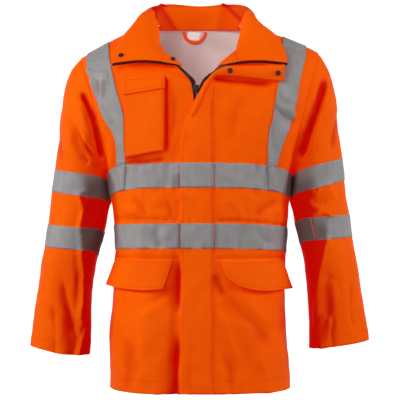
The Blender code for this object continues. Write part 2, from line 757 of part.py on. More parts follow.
def body_tape(name, face, side, top_z, start, finish):
    """A reflective band across a front or half of the back, with its columns on the panel's own."""
    shares = [k / (FRONT_COLUMNS if face < 0 else BACK_COLUMNS / 2) for k in range(24)]
    if face < 0:
        shares = [zip_share(0.4) + (1 - zip_share(0.4)) * share for share in shares]
    shares = [start] + [share for share in shares if start + 0.015 < share < 0.99] + [0.998]
    count = len(shares) - 1

    def point(a, b):
        across = shares[round((1 - a if side * face > 0 else a) * count)]
        z = top_z(side, across) - TAPE_WIDTH * (1 - b)
        return on_panel(face, side, across, up_at(face, side, across, z), LIFT + TAPE)
    sheet(name, point, count, 4, TAPE, finish)


def across_at(face, side, up, x):
    low, high = 0.0, 1.0
    for _ in range(20):
        middle = (low + high) / 2
        if base_point(face, side, middle, up).x * side < x:
            low = middle
        else:
            high = middle
    return (low + high) / 2


def body_tapes(finish):
    """Two bands round the body: on each front, on the storm flap and on the back."""
    for name, top_z in (("chest", chest_top), ("waist", waist_top)):
        for side in (-1, 1):
            edge = -STORM_FLAP.read(top_z(-1, 0))["free_x"] if side < 0 else STORM_FLAP_SEAM_X
            up = up_at(-1, side, 0.1, top_z(side, 0) - TAPE_WIDTH / 2)
            start = across_at(-1, side, up, edge + 0.003)
            body_tape("%s_tape_%s" % (name, sides(side)), -1, side, top_z, start, finish)
            body_tape("%s_tape_back_%s" % (name, sides(side)), 1, side, top_z, 0.001, finish)

        def on_flap(a, b, top_z=top_z):
            z = top_z(-1, 0) - TAPE_WIDTH * (1 - b)
            a = 0.01 + 0.98 * a
            return on_front(storm_flap_spot(a, z), z, storm_flap_lift(a) + LIFT + TAPE)
        sheet("%s_tape_flap" % name, on_flap, 5, 3, TAPE, finish)


# Shoulder bands: outer and inner edge at heights up the panel, from the chest band to the shoulder seam
SHOULDER_BANDS = {
    (-1, -1): Table("up outer inner", (
        (0.490, 0.1705, 0.1505), (0.541, 0.1695, 0.1535), (0.573, 0.1745, 0.1535),
        (0.605, 0.1935, 0.1535), (0.637, 0.2095, 0.1665), (0.669, 0.2205, 0.1755),
        (0.700, 0.2295, 0.1825), (0.732, 0.2340, 0.1870), (0.7955, 0.2355, 0.1905))),
    (-1, 1): Table("up outer inner", (
        (0.490, 0.1575, 0.1380), (0.541, 0.1665, 0.1380), (0.573, 0.1765, 0.1400),
        (0.605, 0.1920, 0.1515), (0.637, 0.1970, 0.1555), (0.669, 0.2035, 0.1590),
        (0.700, 0.2130, 0.1660), (0.732, 0.2190, 0.1705), (0.7955, 0.2230, 0.1750))),
    (1, -1): Table("up outer inner", (
        (0.490, 0.1760, 0.1300), (0.600, 0.1890, 0.1420), (0.680, 0.2110, 0.1640),
        (0.740, 0.2290, 0.1830), (0.7955, 0.2355, 0.1905))),
    (1, 1): Table("up outer inner", (
        (0.490, 0.1740, 0.1280), (0.600, 0.1870, 0.1400), (0.680, 0.2050, 0.1570),
        (0.740, 0.2190, 0.1710), (0.7955, 0.2230, 0.1750))),
}


def shoulder_band(face, side, finish):
    """A band up one panel, from the chest band to the shoulder seam."""
    table = SHOULDER_BANDS[face, side]

    rows = FRONT_ROWS if face < 0 else BACK_ROWS
    start = up_at(face, side, 0.6, chest_top(side, 0.6))
    heights = [SHOULDER_UP * k / rows for k in range(rows)]
    heights = [start] + [up for up in heights if up > start + 0.006] + [SHOULDER_UP - SEAM]
    heights.insert(1, (heights[0] + heights[1]) / 2)
    count = len(heights) - 1

    def point(a, b):
        up = heights[round(b * count)]
        row = table.read(up)
        a = 1 - a if side * face > 0 else a
        across = across_at(face, side, up, row["inner"] + (row["outer"] - row["inner"]) * a)
        if b < 0.001:
            up = up_at(face, side, across, chest_top(side, across) + 0.0015)
        return on_panel(face, side, across, up, LIFT * 1.6 + TAPE)

    def seam(a, b, normal):
        return without(normal, Vector((0, 1, 0))) if b > 0.999 else normal
    where = "front" if face < 0 else "back"
    sheet("shoulder_tape_%s_%s" % (where, sides(side)), point, 3, count, TAPE, finish, seam_normal=seam)


def sleeve_band(name, side, outer_z, inner_z, join, finish):
    """A reflective band round a sleeve, whose ends stop 3 mm apart."""
    gap = math.degrees(BAND_END_GAP / SLEEVE_RADIUS)
    join = 180 - 360 / SLEEVE_COLUMNS * join

    def along_at(turn, z):
        low, high = 0.0, SLEEVE.rows[-1][0]
        for _ in range(22):
            middle = (low + high) / 2
            if sleeve(side, turn, middle).z > z:
                low = middle
            else:
                high = middle
        return (low + high) / 2

    def point(a, b):
        turn = 360 * a
        if a < 0.001 or a > 0.999:
            turn += gap / 2 if a < 0.5 else -gap / 2
        turn = join - side * turn
        z = band_top_at(turn, outer_z, inner_z) - SLEEVE_TAPE_WIDTH * (1 - b)
        return sleeve(side, turn, along_at(turn, z), LIFT + TAPE)
    sheet("sleeve_tape_%s_%s" % (name, sides(side)), point, SLEEVE_COLUMNS, 3, TAPE, finish)


# Chest pocket on the right front: corner places in x and z
POCKET = {"left": -0.1530, "right": -0.0735, "top": -0.1120, "foot_left": -0.2720, "foot_right": -0.2600,
          "foot_in": 0.0050}
POCKET_DEPTH = 0.013
POCKET_RIM_LIFT = 0.0001
POCKET_COLUMNS = (0, 0.02, 0.18, 0.35, 0.5, 0.65, 0.82, 0.98, 1)
POCKET_ROWS = (0, 0.015, 0.12, 0.3, 0.5, 0.7, 0.88, 0.985, 1)
POCKET_FLAP = {"left": -0.1550, "right": -0.0720, "top": -0.1060, "foot": -0.1460, "slant": 0.013}
POCKET_FLAP_ROWS = (0, 0.3, 0.6, 0.9, 1)
POCKET_FLAP_LIFT = 0.0073
POCKET_FLAP_STAND = 0.0036
POCKET_FLAP_TURN_IN = 0.0045


def chest_pocket_piece(finish):
    """A bellows pocket, deeper towards its foot."""
    def point(a, b):
        a = POCKET_COLUMNS[round(a * 8)]
        b = POCKET_ROWS[round(b * 8)]
        left = POCKET["left"] + POCKET["foot_in"] * (1 - b)
        x = left + (POCKET["right"] - left) * a
        foot = POCKET["foot_left"] + (POCKET["foot_right"] - POCKET["foot_left"]) * a
        z = foot + (POCKET["top"] - foot) * b
        inside = 0 < a < 1 and 0 < b < 1
        depth = POCKET_DEPTH * (1 - 0.75 * b) * (0.8 + 0.2 * math.sin(math.pi * a))
        return on_front(x, z, CLOTH + (LIFT + depth if inside else POCKET_RIM_LIFT))
    sheet("chest_pocket", point, 8, 8, CLOTH, finish)


def chest_flap_piece(finish):
    """The chest pocket's flap, cut on a slant."""
    def point(a, b):
        x = POCKET_FLAP["left"] + (POCKET_FLAP["right"] - POCKET_FLAP["left"]) * a
        foot = POCKET_FLAP["foot"] + POCKET_FLAP["slant"] * a
        b = POCKET_FLAP_ROWS[round(b * 4)]
        z = foot + (POCKET_FLAP["top"] - foot) * b
        turn_in = POCKET_FLAP_TURN_IN * max(0.0, b - 0.9) / 0.1
        return on_front(x, z, POCKET_FLAP_LIFT + POCKET_FLAP_STAND * (1 - b) - turn_in)
    sheet("chest_pocket_flap", point, 5, 4, CLOTH, finish)


# Lower pocket flaps: top edge and foot from the zip side to the side seam, and how far the foot stands off
LOWER_FLAPS = {
    -1: Table("across top_x top_z foot_x foot_z stand", (
        (0.00, -0.0545, -0.4765, -0.0735, -0.5360, 0.007), (0.30, -0.0920, -0.4765, -0.1020, -0.5390, 0.008),
        (0.60, -0.1300, -0.4760, -0.1360, -0.5385, 0.009), (0.85, -0.1600, -0.4750, -0.1640, -0.5360, 0.012),
        (1.00, -0.1730, -0.4745, -0.1760, -0.5320, 0.018))),
    1: Table("across top_x top_z foot_x foot_z stand", (
        (0.00, 0.0410, -0.4785, 0.0525, -0.5130, 0.006), (0.25, 0.0730, -0.4785, 0.0740, -0.5290, 0.009),
        (0.55, 0.1090, -0.4780, 0.1090, -0.5395, 0.010), (0.80, 0.1400, -0.4775, 0.1400, -0.5410, 0.012),
        (1.00, 0.1660, -0.4770, 0.1765, -0.5390, 0.017))),
}


def lower_flap_piece(side, finish):
    table = LOWER_FLAPS[side]

    def point(a, b):
        row = table.read(1 - a if side < 0 else a)
        x = row["foot_x"] + (row["top_x"] - row["foot_x"]) * b
        z = row["foot_z"] + (row["top_z"] - row["foot_z"]) * b
        return on_front(x, z, LIFT + CLOTH + row["stand"] * (1 - b) ** 0.8)
    sheet("pocket_flap_" + sides(side), point, 8, 4, CLOTH, finish)


def back_inside(x, z, lift):
    """A place on the inner face of the back, near the neck."""
    side = 1 if x >= 0 else -1
    across = 0.1
    for _ in range(SEARCH_STEPS):
        up = up_at(1, side, across, z)
        miss = (x - base_point(1, side, across, up).x) * side
        across = min(max(across + miss / TRUNK_WIDTH, 0.0), 0.95)
    return torso(1, side, across, up, -(CLOTH + lift))


LOOP_MIDDLE_X = -0.012
LOOP_TOP_Z = 0.0055
LOOP_WIDE = 0.0205
LOOP_DEEP = 0.0170
LOOP_STRAP = 0.007
LABEL_WIDTH = 0.028
LABEL_FOOT = 0.0165
LABEL_HEIGHT = 0.0155
LABEL_IN = 0.0022


def hanger_loop_piece(finish):
    """A flat strap in a half round under the neck seam."""
    def point(a, b):
        turn = math.pi * a
        wide = LOOP_WIDE + LOOP_STRAP * b
        deep = LOOP_DEEP + LOOP_STRAP * b
        z = LOOP_TOP_Z - deep * math.sin(turn)
        return back_inside(LOOP_MIDDLE_X + wide * math.cos(turn), z, 0.0030 + 0.002 * math.sin(turn))
    sheet("hanger_loop", point, 14, 1, CLOTH, finish)


def neck_label_piece(finish):
    """A blank label inside the loop."""
    def point(a, b):
        z = LOOP_TOP_Z - LABEL_FOOT + LABEL_HEIGHT * b
        return back_inside(LOOP_MIDDLE_X + LABEL_WIDTH * (a - 0.5), z, LABEL_IN)
    sheet("neck_label", point, 2, 2, TAPE * 0.6, finish)


def snap_piece(name, middle, normal, finish):
    """A press stud's cap, domed by a bevel."""
    mesh = bpy.data.meshes.new(name)
    work = bmesh.new()
    bmesh.ops.create_cone(work, cap_ends=True, segments=16, radius1=SNAP_RADIUS,
                          radius2=SNAP_RADIUS, depth=SNAP_HEIGHT)
    rim = [edge for edge in work.edges if all(vertex.co.z > 0 for vertex in edge.verts)]
    bmesh.ops.bevel(work, geom=rim, offset=SNAP_HEIGHT * 0.55, segments=2, affect="EDGES",
                    profile=0.5, material=-1)
    turn = normal.to_track_quat("Z", "Y").to_matrix().to_4x4()
    turn.translation = hang(middle) + normal * (SNAP_HEIGHT / 2 + SNAP_GAP)
    work.transform(turn)
    work.to_mesh(mesh)
    work.free()
    place(name, mesh, finish)


# Places of the studs: how far along and across the turned flap, and round and up the collar and lapel
FLAP_SNAPS = (("snap_flap_middle", 0.53, 0.50), ("snap_flap_end", 0.945, 0.52))
COLLAR_SNAP = (0.07, 0.84)
LAPEL_SNAP = (0.5, 0.6)


def snap_pieces(finish):
    """Four press studs: two on the right leaf and lapel, two on the turned storm flap."""
    here, normal = frame(lambda a, b: collar(-1, a, b), *COLLAR_SNAP, 1)
    normal = normal if normal.z > 0 else -normal
    snap_piece("snap_collar_right", here + normal * CLOTH, normal, finish)
    here, normal = frame(lambda a, b: lapel_point(-1, a, b), *LAPEL_SNAP, 1)
    normal = normal if normal.y < 0 else -normal
    snap_piece("snap_lapel_right", here, normal, finish)
    for name, along, across in FLAP_SNAPS:
        here, normal = frame(turned_flap_point, across, along, 1)
        normal = normal if normal.y < 0 else -normal
        snap_piece(name, here, normal, finish)


# The zip slider's frame: its middle on the zip's face, and the slope of the fronts there
SLIDER_MIDDLE = Vector((-0.0066, -0.1190, -0.1310))
SLIDER_SLOPE = math.radians(-13)
SLIDER_WIDTH = 0.0084
SLIDER_LENGTH = 0.0130
SLIDER_DEPTH = 0.0036
SLIDER_BEVEL = 0.0008
LUG_WIDTH = 0.0012
LUG_HEIGHT = 0.0036
LUG_SPREAD = 0.0027
PIN_RADIUS = 0.0011
PIN_OUT = 0.0058
PIN_UP = 0.0020
PULL_WIDTH = 0.0036
PULL_LENGTH = 0.0140
PULL_THICK = 0.0013


def add_block(work, size, middle, bevel):
    """A box with its edges taken off, in the slider's own frame: x across, y into the cloth, z up the zip."""
    made = bmesh.ops.create_cube(work, size=1.0)["verts"]
    bmesh.ops.scale(work, vec=size, verts=made)
    bmesh.ops.translate(work, vec=middle, verts=made)
    edges = list({edge for vertex in made for edge in vertex.link_edges})
    bmesh.ops.bevel(work, geom=edges, offset=bevel, segments=1, affect="EDGES", profile=0.5,
                    material=-1)


def slider_object(name, work, finish):
    """An object from a mesh made in the slider's frame."""
    turn = Matrix.Rotation(SLIDER_SLOPE, 4, "X")
    turn.translation = SLIDER_MIDDLE
    work.transform(turn)
    bmesh.ops.recalc_face_normals(work, faces=work.faces)
    mesh = bpy.data.meshes.new(name)
    work.to_mesh(mesh)
    work.free()
    return place(name, mesh, finish)


def zip_slider_piece(finish):
    """The slider's plate, with two lugs on it that hold the pull between them."""
    plate = bmesh.new()
    add_block(plate, (SLIDER_WIDTH, SLIDER_DEPTH, SLIDER_LENGTH), (0, -SLIDER_DEPTH / 2, 0), SLIDER_BEVEL)
    slider = slider_object("zip_slider", plate, finish)
    reach = PIN_OUT + PIN_RADIUS
    for name, sign in (("right_lug", -1), ("left_lug", 1)):
        lug = bmesh.new()
        middle = (sign * LUG_SPREAD, -SLIDER_DEPTH / 2 - reach / 2, PIN_UP)
        add_block(lug, (LUG_WIDTH, reach - SLIDER_DEPTH, LUG_HEIGHT), middle, 0.0003)
        cutter = slider_object(name, lug, finish)
        cutter.hide_render = True
        join = slider.modifiers.new(name, "BOOLEAN")
        join.operation = "UNION"
        join.solver = "EXACT"
        join.object = cutter


def zip_pull_piece(finish):
    """The pull: a tongue as wide as its pin, whose round section is drawn down to the tongue's foot."""
    pull = bmesh.new()
    rim = bmesh.ops.create_circle(pull, cap_ends=True, segments=16, radius=PIN_RADIUS)["verts"]
    for vertex in rim:
        if vertex.co.y < -PIN_RADIUS * 0.6:
            vertex.co.x = min(max(vertex.co.x, -PULL_THICK / 2), PULL_THICK / 2)
            vertex.co.y -= PULL_LENGTH - PIN_RADIUS
    side = bmesh.ops.extrude_face_region(pull, geom=list(pull.faces))["geom"]
    moved = [item for item in side if isinstance(item, bmesh.types.BMVert)]
    bmesh.ops.translate(pull, verts=moved, vec=(0, 0, PULL_WIDTH))
    bmesh.ops.translate(pull, verts=pull.verts, vec=(0, 0, -PULL_WIDTH / 2))
    pull.transform(Matrix(((0, 0, 1, 0), (1, 0, 0, -PIN_OUT), (0, 1, 0, PIN_UP), (0, 0, 0, 1))))
    slider_object("zip_pull", pull, finish)


def main():
    for old in list(bpy.data.objects):
        bpy.data.objects.remove(old, do_unlink=True)
    bpy.context.scene.collection.children.link(parts)
    cloth = material("orange_coated_cloth", ORANGE, 0.55)
    silver = material("reflective_tape", SILVER, 0.35, 0.3)
    dark = material("dark_zip", DARK, 0.5)
    white = material("label_cloth", (0.8, 0.8, 0.8, 1), 0.8)
    for side in (-1, 1):
        front_piece(side, cloth)
        sleeve_piece(side, cloth)
        lapel_piece(side, cloth)
        zip_piece(side, dark)
        lower_flap_piece(side, cloth)
        for face in (-1, 1):
            shoulder_band(face, side, silver)
    back_piece(cloth)
    collar_piece(cloth)
    storm_flap_piece(cloth)
    turned_flap_piece(cloth)
    chest_pocket_piece(cloth)
    chest_flap_piece(cloth)
    body_tapes(silver)
    for name, side, outer_z, inner_z, join in SLEEVE_BANDS:
        sleeve_band(name, side, outer_z, inner_z, join, silver)
    hanger_loop_piece(cloth)
    neck_label_piece(white)
    snap_pieces(dark)
    zip_slider_piece(dark)
    zip_pull_piece(dark)


main()
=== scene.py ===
import math

import bmesh
import bpy
import numpy as np
from mathutils import Matrix, Vector
from mathutils.bvhtree import BVHTree


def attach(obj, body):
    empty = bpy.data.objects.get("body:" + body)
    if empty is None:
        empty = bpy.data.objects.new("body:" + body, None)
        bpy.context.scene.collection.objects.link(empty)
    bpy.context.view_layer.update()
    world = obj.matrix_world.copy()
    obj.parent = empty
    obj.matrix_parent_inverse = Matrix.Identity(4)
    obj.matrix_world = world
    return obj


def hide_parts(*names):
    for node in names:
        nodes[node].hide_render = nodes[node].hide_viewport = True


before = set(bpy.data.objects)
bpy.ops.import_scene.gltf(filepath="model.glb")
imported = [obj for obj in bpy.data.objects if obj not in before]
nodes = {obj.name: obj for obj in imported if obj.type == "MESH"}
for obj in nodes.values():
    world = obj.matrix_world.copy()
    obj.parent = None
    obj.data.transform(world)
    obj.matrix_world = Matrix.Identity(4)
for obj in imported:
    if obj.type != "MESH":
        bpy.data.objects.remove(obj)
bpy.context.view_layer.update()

scene = bpy.context.scene


# camera, backdrop and light
view = {"distance": 3.2, "height": -0.357, "angle": 14.95}
studio = {"floorZ": -0.80, "floorSize": 9.0, "bend": 1.2, "wall": 4.0, "world": 0.12}
lamps = [
    # name, place, size, watts
    ("sideLeft", (-2.8, -0.85, 0.60), 1.2, 50),
    ("sideRight", (2.8, -0.70, 0.50), 1.2, 54),
    ("front", (-0.85, -1.95, 0.40), 1.2, 23.5),
    ("top", (0.1, -0.9, 2.6), 0.9, 8),
]


def makeCamera():
    data = bpy.data.cameras.new("camera")
    data.angle = math.radians(view["angle"])
    camera = bpy.data.objects.new("camera", data)
    camera.location = (0, -view["distance"], view["height"])
    camera.rotation_euler = (math.pi / 2, 0, 0)
    scene.collection.objects.link(camera)
    scene.camera = camera


def makeLamps():
    for name, spot, size, watts in lamps:
        data = bpy.data.lights.new(name, "AREA")
        data.shape = "DISK"
        data.size = size
        data.energy = watts
        lamp = bpy.data.objects.new(name, data)
        lamp.location = spot
        aim = Vector((0, 0, view["height"])) - Vector(spot)
        lamp.rotation_euler = aim.to_track_quat("-Z", "Y").to_euler()
        scene.collection.objects.link(lamp)
    world = bpy.data.worlds.new("studio")
    scene.world = world
    world.use_nodes = True
    world.node_tree.nodes["Background"].inputs["Color"].default_value = (1, 1, 1, 1)
    world.node_tree.nodes["Background"].inputs["Strength"].default_value = studio["world"]
    scene.view_settings.view_transform = "Standard"


makeCamera()
makeLamps()
print("camera and lamps made")


# shader writing: numbers between sockets are ordinary sums
class Sock:
    def __init__(self, shader, link):
        self.shader = shader
        self.link = link

    def sum(self, how, other, back=False):
        pair = (other, self) if back else (self, other)
        return self.shader.node("ShaderNodeMath", {"operation": how}, {0: pair[0], 1: pair[1]})

    def __add__(self, other):
        return self.sum("ADD", other)

    def __radd__(self, other):
        return self.sum("ADD", other, True)

    def __sub__(self, other):
        return self.sum("SUBTRACT", other)

    def __mul__(self, other):
        return self.sum("MULTIPLY", other)

    def sine(self):
        return self.shader.node("ShaderNodeMath", {"operation": "SINE"}, {0: self})

    def fit(self, low, high, toLow=0.0, toHigh=1.0):
        return self.shader.node("ShaderNodeMapRange", {"clamp": True},
                                {"Value": self, "From Min": low, "From Max": high,
                                 "To Min": toLow, "To Max": toHigh})


class Finish:
    def __init__(self, name):
        self.made = bpy.data.materials.new(name)
        self.made.use_nodes = True
        self.tree = self.made.node_tree
        self.skin = self.tree.nodes["Principled BSDF"]

    def node(self, kind, settings=None, sockets=None, out=0):
        made = self.tree.nodes.new(kind)
        for key, value in (settings or {}).items():
            setattr(made, key, value)
        for key, value in (sockets or {}).items():
            self.feed(made.inputs[key], value)
        return Sock(self, made.outputs[out])

    def feed(self, socket, value):
        if isinstance(value, Sock):
            self.tree.links.new(value.link, socket)
        else:
            socket.default_value = value

    def place(self):
        return self.node("ShaderNodeTexCoord", out="Object")

    def axes(self, place):
        made = self.tree.nodes.new("ShaderNodeSeparateXYZ")
        self.feed(made.inputs[0], place)
        return [Sock(self, socket) for socket in made.outputs]

    def noise(self, place, size, detail=2.0, rough=0.5):
        return self.node("ShaderNodeTexNoise", None,
                         {"Vector": place, "Scale": 1 / size, "Detail": detail, "Roughness": rough})

    def stretch(self, place, scale):
        return self.node("ShaderNodeMapping", None, {"Vector": place, "Scale": scale})

    def attribute(self, name):
        return self.node("ShaderNodeAttribute", {"attribute_name": name}, out="Fac")

    def blend(self, share, first, second):
        made = self.tree.nodes.new("ShaderNodeMix")
        made.data_type = "RGBA"
        self.feed(made.inputs[0], share)
        self.feed(made.inputs[6], first)
        self.feed(made.inputs[7], second)
        return Sock(self, made.outputs[2])

    def bump(self, height, depth, strength=1.0, onto=None):
        sockets = {"Height": height, "Distance": depth, "Strength": strength}
        if onto is not None:
            sockets["Normal"] = onto
        return self.node("ShaderNodeBump", None, sockets)

    def set(self, **values):
        for key, value in values.items():
            self.feed(self.skin.inputs[key.replace("_", " ")], value)
        return self.made


def rgb(red, green, blue):
    return (red, green, blue, 1.0)


# finishes, with their values
# deep serves both as a random darker tone and as the colour of painted shade
cloth = {
    "face": rgb(0.56, 0.112, 0.0005), "deep": rgb(0.30, 0.006, 0.0005), "pale": rgb(0.58, 0.124, 0.0005),
    # painted glow: a steady red emission that keeps the cloth red in its shade
    "paintedGlow": rgb(0.38, 0.0, 0.0), "paintedGlowInShade": rgb(0.33, 0.0, 0.0),
    "thread": 0.00055, "weaveDepth": 0.00006, "crumple": 0.030, "crumpleDepth": 0.0011,
    "rough": 0.50,
}
# a painted glow tints the reverse, in place of light that comes through the cloth
knit = {"face": rgb(0.90, 0.82, 0.80), "shade": rgb(0.74, 0.62, 0.60), "paintedGlow": rgb(0.085, 0.050, 0.046),
        "loop": 0.0012}
# the third colour is painted shade for the band's troughs
silver = {"face": rgb(0.325, 0.305, 0.305), "shade": rgb(0.240, 0.222, 0.224),
          "hollow": rgb(0.095, 0.050, 0.045), "cell": 0.0011}


def weave(finish, place, pitch):
    # over and under threads, on the two axes that lie in the cloth
    x, y, z = finish.axes(place)
    across = ((x + y) * (2 * math.pi / pitch)).sine()
    up = (z * (2 * math.pi / pitch)).sine()
    return across * up * 0.5 + 0.5


def coatedCloth(name):
    finish = Finish(name)
    place = finish.place()
    broad = finish.noise(place, 0.11, 2.0, 0.45)
    fine = finish.noise(place, 0.004, 3.0, 0.6)
    hollow = finish.attribute("hollow").fit(0.0, 1.0)
    colour = finish.blend(broad.fit(0.35, 0.65), cloth["face"], cloth["pale"])
    colour = finish.blend(fine.fit(0.3, 0.7) * 0.10, colour, cloth["deep"])
    # painted shade: troughs and the sleeves' inner sides take the deep colour
    colour = finish.blend(hollow, colour, cloth["deep"])
    threads = weave(finish, place, cloth["thread"])
    crumple = finish.noise(place, cloth["crumple"], 2.5, 0.48)
    rough = cloth["rough"] + fine * 0.12 - threads * 0.04
    normal = finish.bump(crumple, cloth["crumpleDepth"], 0.6)
    normal = finish.bump(threads, cloth["weaveDepth"], 0.35, normal)
    # painted glow, a different red where painted shade lies
    paintedGlow = finish.blend(hollow, cloth["paintedGlow"], cloth["paintedGlowInShade"])
    return finish.set(Base_Color=colour, Roughness=rough, Normal=normal, IOR=1.40,
                      Specular_IOR_Level=0.02, Emission_Color=paintedGlow, Emission_Strength=1.0)


def knitBacking(name):
    finish = Finish(name)
    place = finish.place()
    x, y, z = finish.axes(place)
    loops = ((x + y) * (2 * math.pi / knit["loop"])).sine() * 0.5 + 0.5
    rows = (z * (2 * math.pi / (knit["loop"] * 0.7)) + loops * 1.6).sine() * 0.5 + 0.5
    broad = finish.noise(place, 0.06, 3.0, 0.5)
    crumple = finish.noise(place, 0.035, 2.0, 0.5)
    colour = finish.blend(broad.fit(0.3, 0.7) * 0.6 + rows * 0.2, knit["face"], knit["shade"])
    normal = finish.bump(crumple, 0.002, 0.6)
    normal = finish.bump(loops * rows, 0.00018, 0.6, normal)
    return finish.set(Base_Color=colour, Roughness=0.86 + broad * 0.1, Normal=normal,
                      Specular_IOR_Level=0.2, Emission_Color=knit["paintedGlow"], Emission_Strength=1.0)


def reflective(name):
    finish = Finish(name)
    place = finish.place()
    x, y, z = finish.axes(place)
    # a grid of fine cells turned by 45 degrees, over soft cloudy wear
    first = ((x + y + z) * (2 * math.pi / silver["cell"])).sine()
    second = ((x + y - z) * (2 * math.pi / silver["cell"])).sine()
    cells = (first * second).fit(-0.2, 0.9)
    cloud = finish.noise(place, 0.030, 3.0, 0.55)
    streak = finish.noise(finish.stretch(place, (1.0, 1.0, 0.22)), 0.012, 2.0, 0.5)
    beads = finish.noise(place, 0.0006, 1.0, 0.5)
    wear = cloud.fit(0.3, 0.7) * 0.6 + streak.fit(0.35, 0.7) * 0.35
    colour = finish.blend(wear, silver["face"], silver["shade"])
    colour = finish.blend(cells * 0.12 + beads * 0.10, colour, rgb(0.42, 0.41, 0.41))
    # painted shade: the band darkens in its troughs
    colour = finish.blend(finish.attribute("hollow") * 0.75, colour, silver["hollow"])
    normal = finish.bump(cloud, 0.0016, 0.5)
    normal = finish.bump(cells + beads * 0.5, 0.00005, 0.5, normal)
    return finish.set(Base_Color=colour, Roughness=0.68 + cells * 0.08 - cloud * 0.12, Metallic=0.0,
                      Normal=normal, Specular_IOR_Level=0.22)


def plainWeave(name, face, shade, pitch, rough=0.8, paintedGlow=0.0):
    finish = Finish(name)
    place = finish.place()
    threads = weave(finish, place, pitch)
    broad = finish.noise(place, 0.01, 3.0, 0.5)
    colour = finish.blend(threads * 0.45 + broad.fit(0.3, 0.7) * 0.4, face, shade)
    # painted glow in the weave's own colour, which brightens the strap, the label and the thread
    return finish.set(Base_Color=colour, Roughness=rough + threads * 0.1, Specular_IOR_Level=0.12,
                      Emission_Color=face, Emission_Strength=paintedGlow,
                      Normal=finish.bump(threads, 0.00012, 0.7))


def moulded(name, face, edge, rough, metallic=0.0, grain=0.0008):
    finish = Finish(name)
    place = finish.place()
    grains = finish.noise(place, grain, 2.0, 0.5)
    wear = finish.noise(place, 0.003, 3.0, 0.6).fit(0.55, 0.75)
    colour = finish.blend(wear * 0.5 + grains * 0.15, face, edge)
    return finish.set(Base_Color=colour, Roughness=rough + grains * 0.12, Metallic=metallic,
                      Specular_IOR_Level=0.25, Normal=finish.bump(grains, 0.00005, 0.5), Coat_Weight=0.03)


orangeCloth = coatedCloth("orangeCoatedCloth")
orangeStraps = plainWeave("orangeStrap", rgb(0.84, 0.10, 0.022), rgb(0.66, 0.06, 0.014), 0.0011, 0.8, 0.34)
liningKnit = knitBacking("paleKnitReverse")
silverTape = reflective("beadedReflectiveTape")
zipWeave = plainWeave("darkZipTape", rgb(0.050, 0.006, 0.002), rgb(0.018, 0.003, 0.002), 0.0009)
toothPlastic = moulded("zipTeeth", rgb(0.030, 0.010, 0.008), rgb(0.07, 0.03, 0.025), 0.42)
sliderEnamel = moulded("sliderEnamel", rgb(0.018, 0.006, 0.005), rgb(0.07, 0.04, 0.035), 0.36)
studEnamel = moulded("studEnamel", rgb(0.030, 0.004, 0.003), rgb(0.10, 0.02, 0.012), 0.42)
labelWeave = plainWeave("blankLabel", rgb(0.98, 0.96, 0.94), rgb(0.86, 0.83, 0.80), 0.0008, 0.85, 0.28)
orangeThread = plainWeave("orangeThread", rgb(0.40, 0.020, 0.002), rgb(0.28, 0.010, 0.002), 0.0006, 0.8, 0.2)
greyThread = plainWeave("greyThread", rgb(0.40, 0.38, 0.38), rgb(0.27, 0.25, 0.25), 0.0006)
floorPaint = Finish("floorPaint").set(Base_Color=rgb(0.60, 0.60, 0.60), Roughness=0.9,
                                      Specular_IOR_Level=0.1, Emission_Color=rgb(0.95, 0.95, 0.95),
                                      Emission_Strength=1.0)
print("finishes made")


def makeFloor():
    work = bmesh.new()
    bmesh.ops.create_grid(work, x_segments=1, y_segments=24, size=0.5)
    reach = studio["floorSize"]
    arc = studio["bend"]
    for vertex in work.verts:
        along = (vertex.co.y + 0.5) * (reach + arc + studio["wall"])
        turn = min(max((along - reach) / arc, 0.0), 1.0) * math.pi / 2
        rise = max(along - reach - arc, 0.0)
        radius = arc / (math.pi / 2)
        vertex.co = (vertex.co.x * 3 * reach, min(along, reach) - reach * 0.6 + radius * math.sin(turn),
                     studio["floorZ"] + radius * (1 - math.cos(turn)) + rise)
    bmesh.ops.recalc_face_normals(work, faces=work.faces)
    floor = addObject("floor", work, floorPaint)
    floor.visible_diffuse = False


def addObject(name, work, finish, smooth=True):
    mesh = bpy.data.meshes.new(name)
    work.to_mesh(mesh)
    work.free()
    mesh.materials.append(finish)
    if smooth:
        mesh.shade_smooth()
    made = bpy.data.objects.new(name, mesh)
    scene.collection.objects.link(made)
    return made


makeFloor()


# creases: each has a path on the cloth as seen from the front or the back, in metres, a half width
# on each side, a rise (+ ridge, - trough), and how sharply it is bent
def crease(path, rise, width, other=None, sharp=0.0, ends=(0.3, 0.3)):
    return {"path": np.array(path, float), "rise": rise, "width": (width, other or width),
            "sharp": sharp, "ends": ends}


def smoothStep(value):
    value = np.clip(value, 0, 1)
    return value * value * (3 - 2 * value)


def creaseHeight(spots, creases):
    total = np.zeros(len(spots))
    for item in creases:
        path = item["path"]
        runs = np.diff(path, axis=0)
        lengths = np.linalg.norm(runs, axis=1)
        starts = np.concatenate([[0], np.cumsum(lengths)])
        near = np.full(len(spots), 9.0)
        along = np.zeros(len(spots))
        side = np.zeros(len(spots))
        for k, run in enumerate(runs):
            gap = spots - path[k]
            share = np.clip(gap @ run / lengths[k] ** 2, 0, 1)
            away = gap - share[:, None] * run
            distance = np.linalg.norm(away, axis=1)
            nearer = distance < near
            near = np.where(nearer, distance, near)
            along = np.where(nearer, (starts[k] + share * lengths[k]) / starts[-1], along)
            side = np.where(nearer, run[0] * gap[:, 1] - run[1] * gap[:, 0], side)
        width = np.where(side > 0, item["width"][0], item["width"][1])
        soft = np.exp(-(near / width) ** 2)
        bent = np.exp(-1.6 * near / width)
        first, last = item["ends"]
        taper = smoothStep(along / first if first else np.ones_like(along))
        taper = taper * smoothStep((1 - along) / last if last else np.ones_like(along))
        total += item["rise"] * taper * (soft * (1 - item["sharp"]) + bent * item["sharp"])
    return total


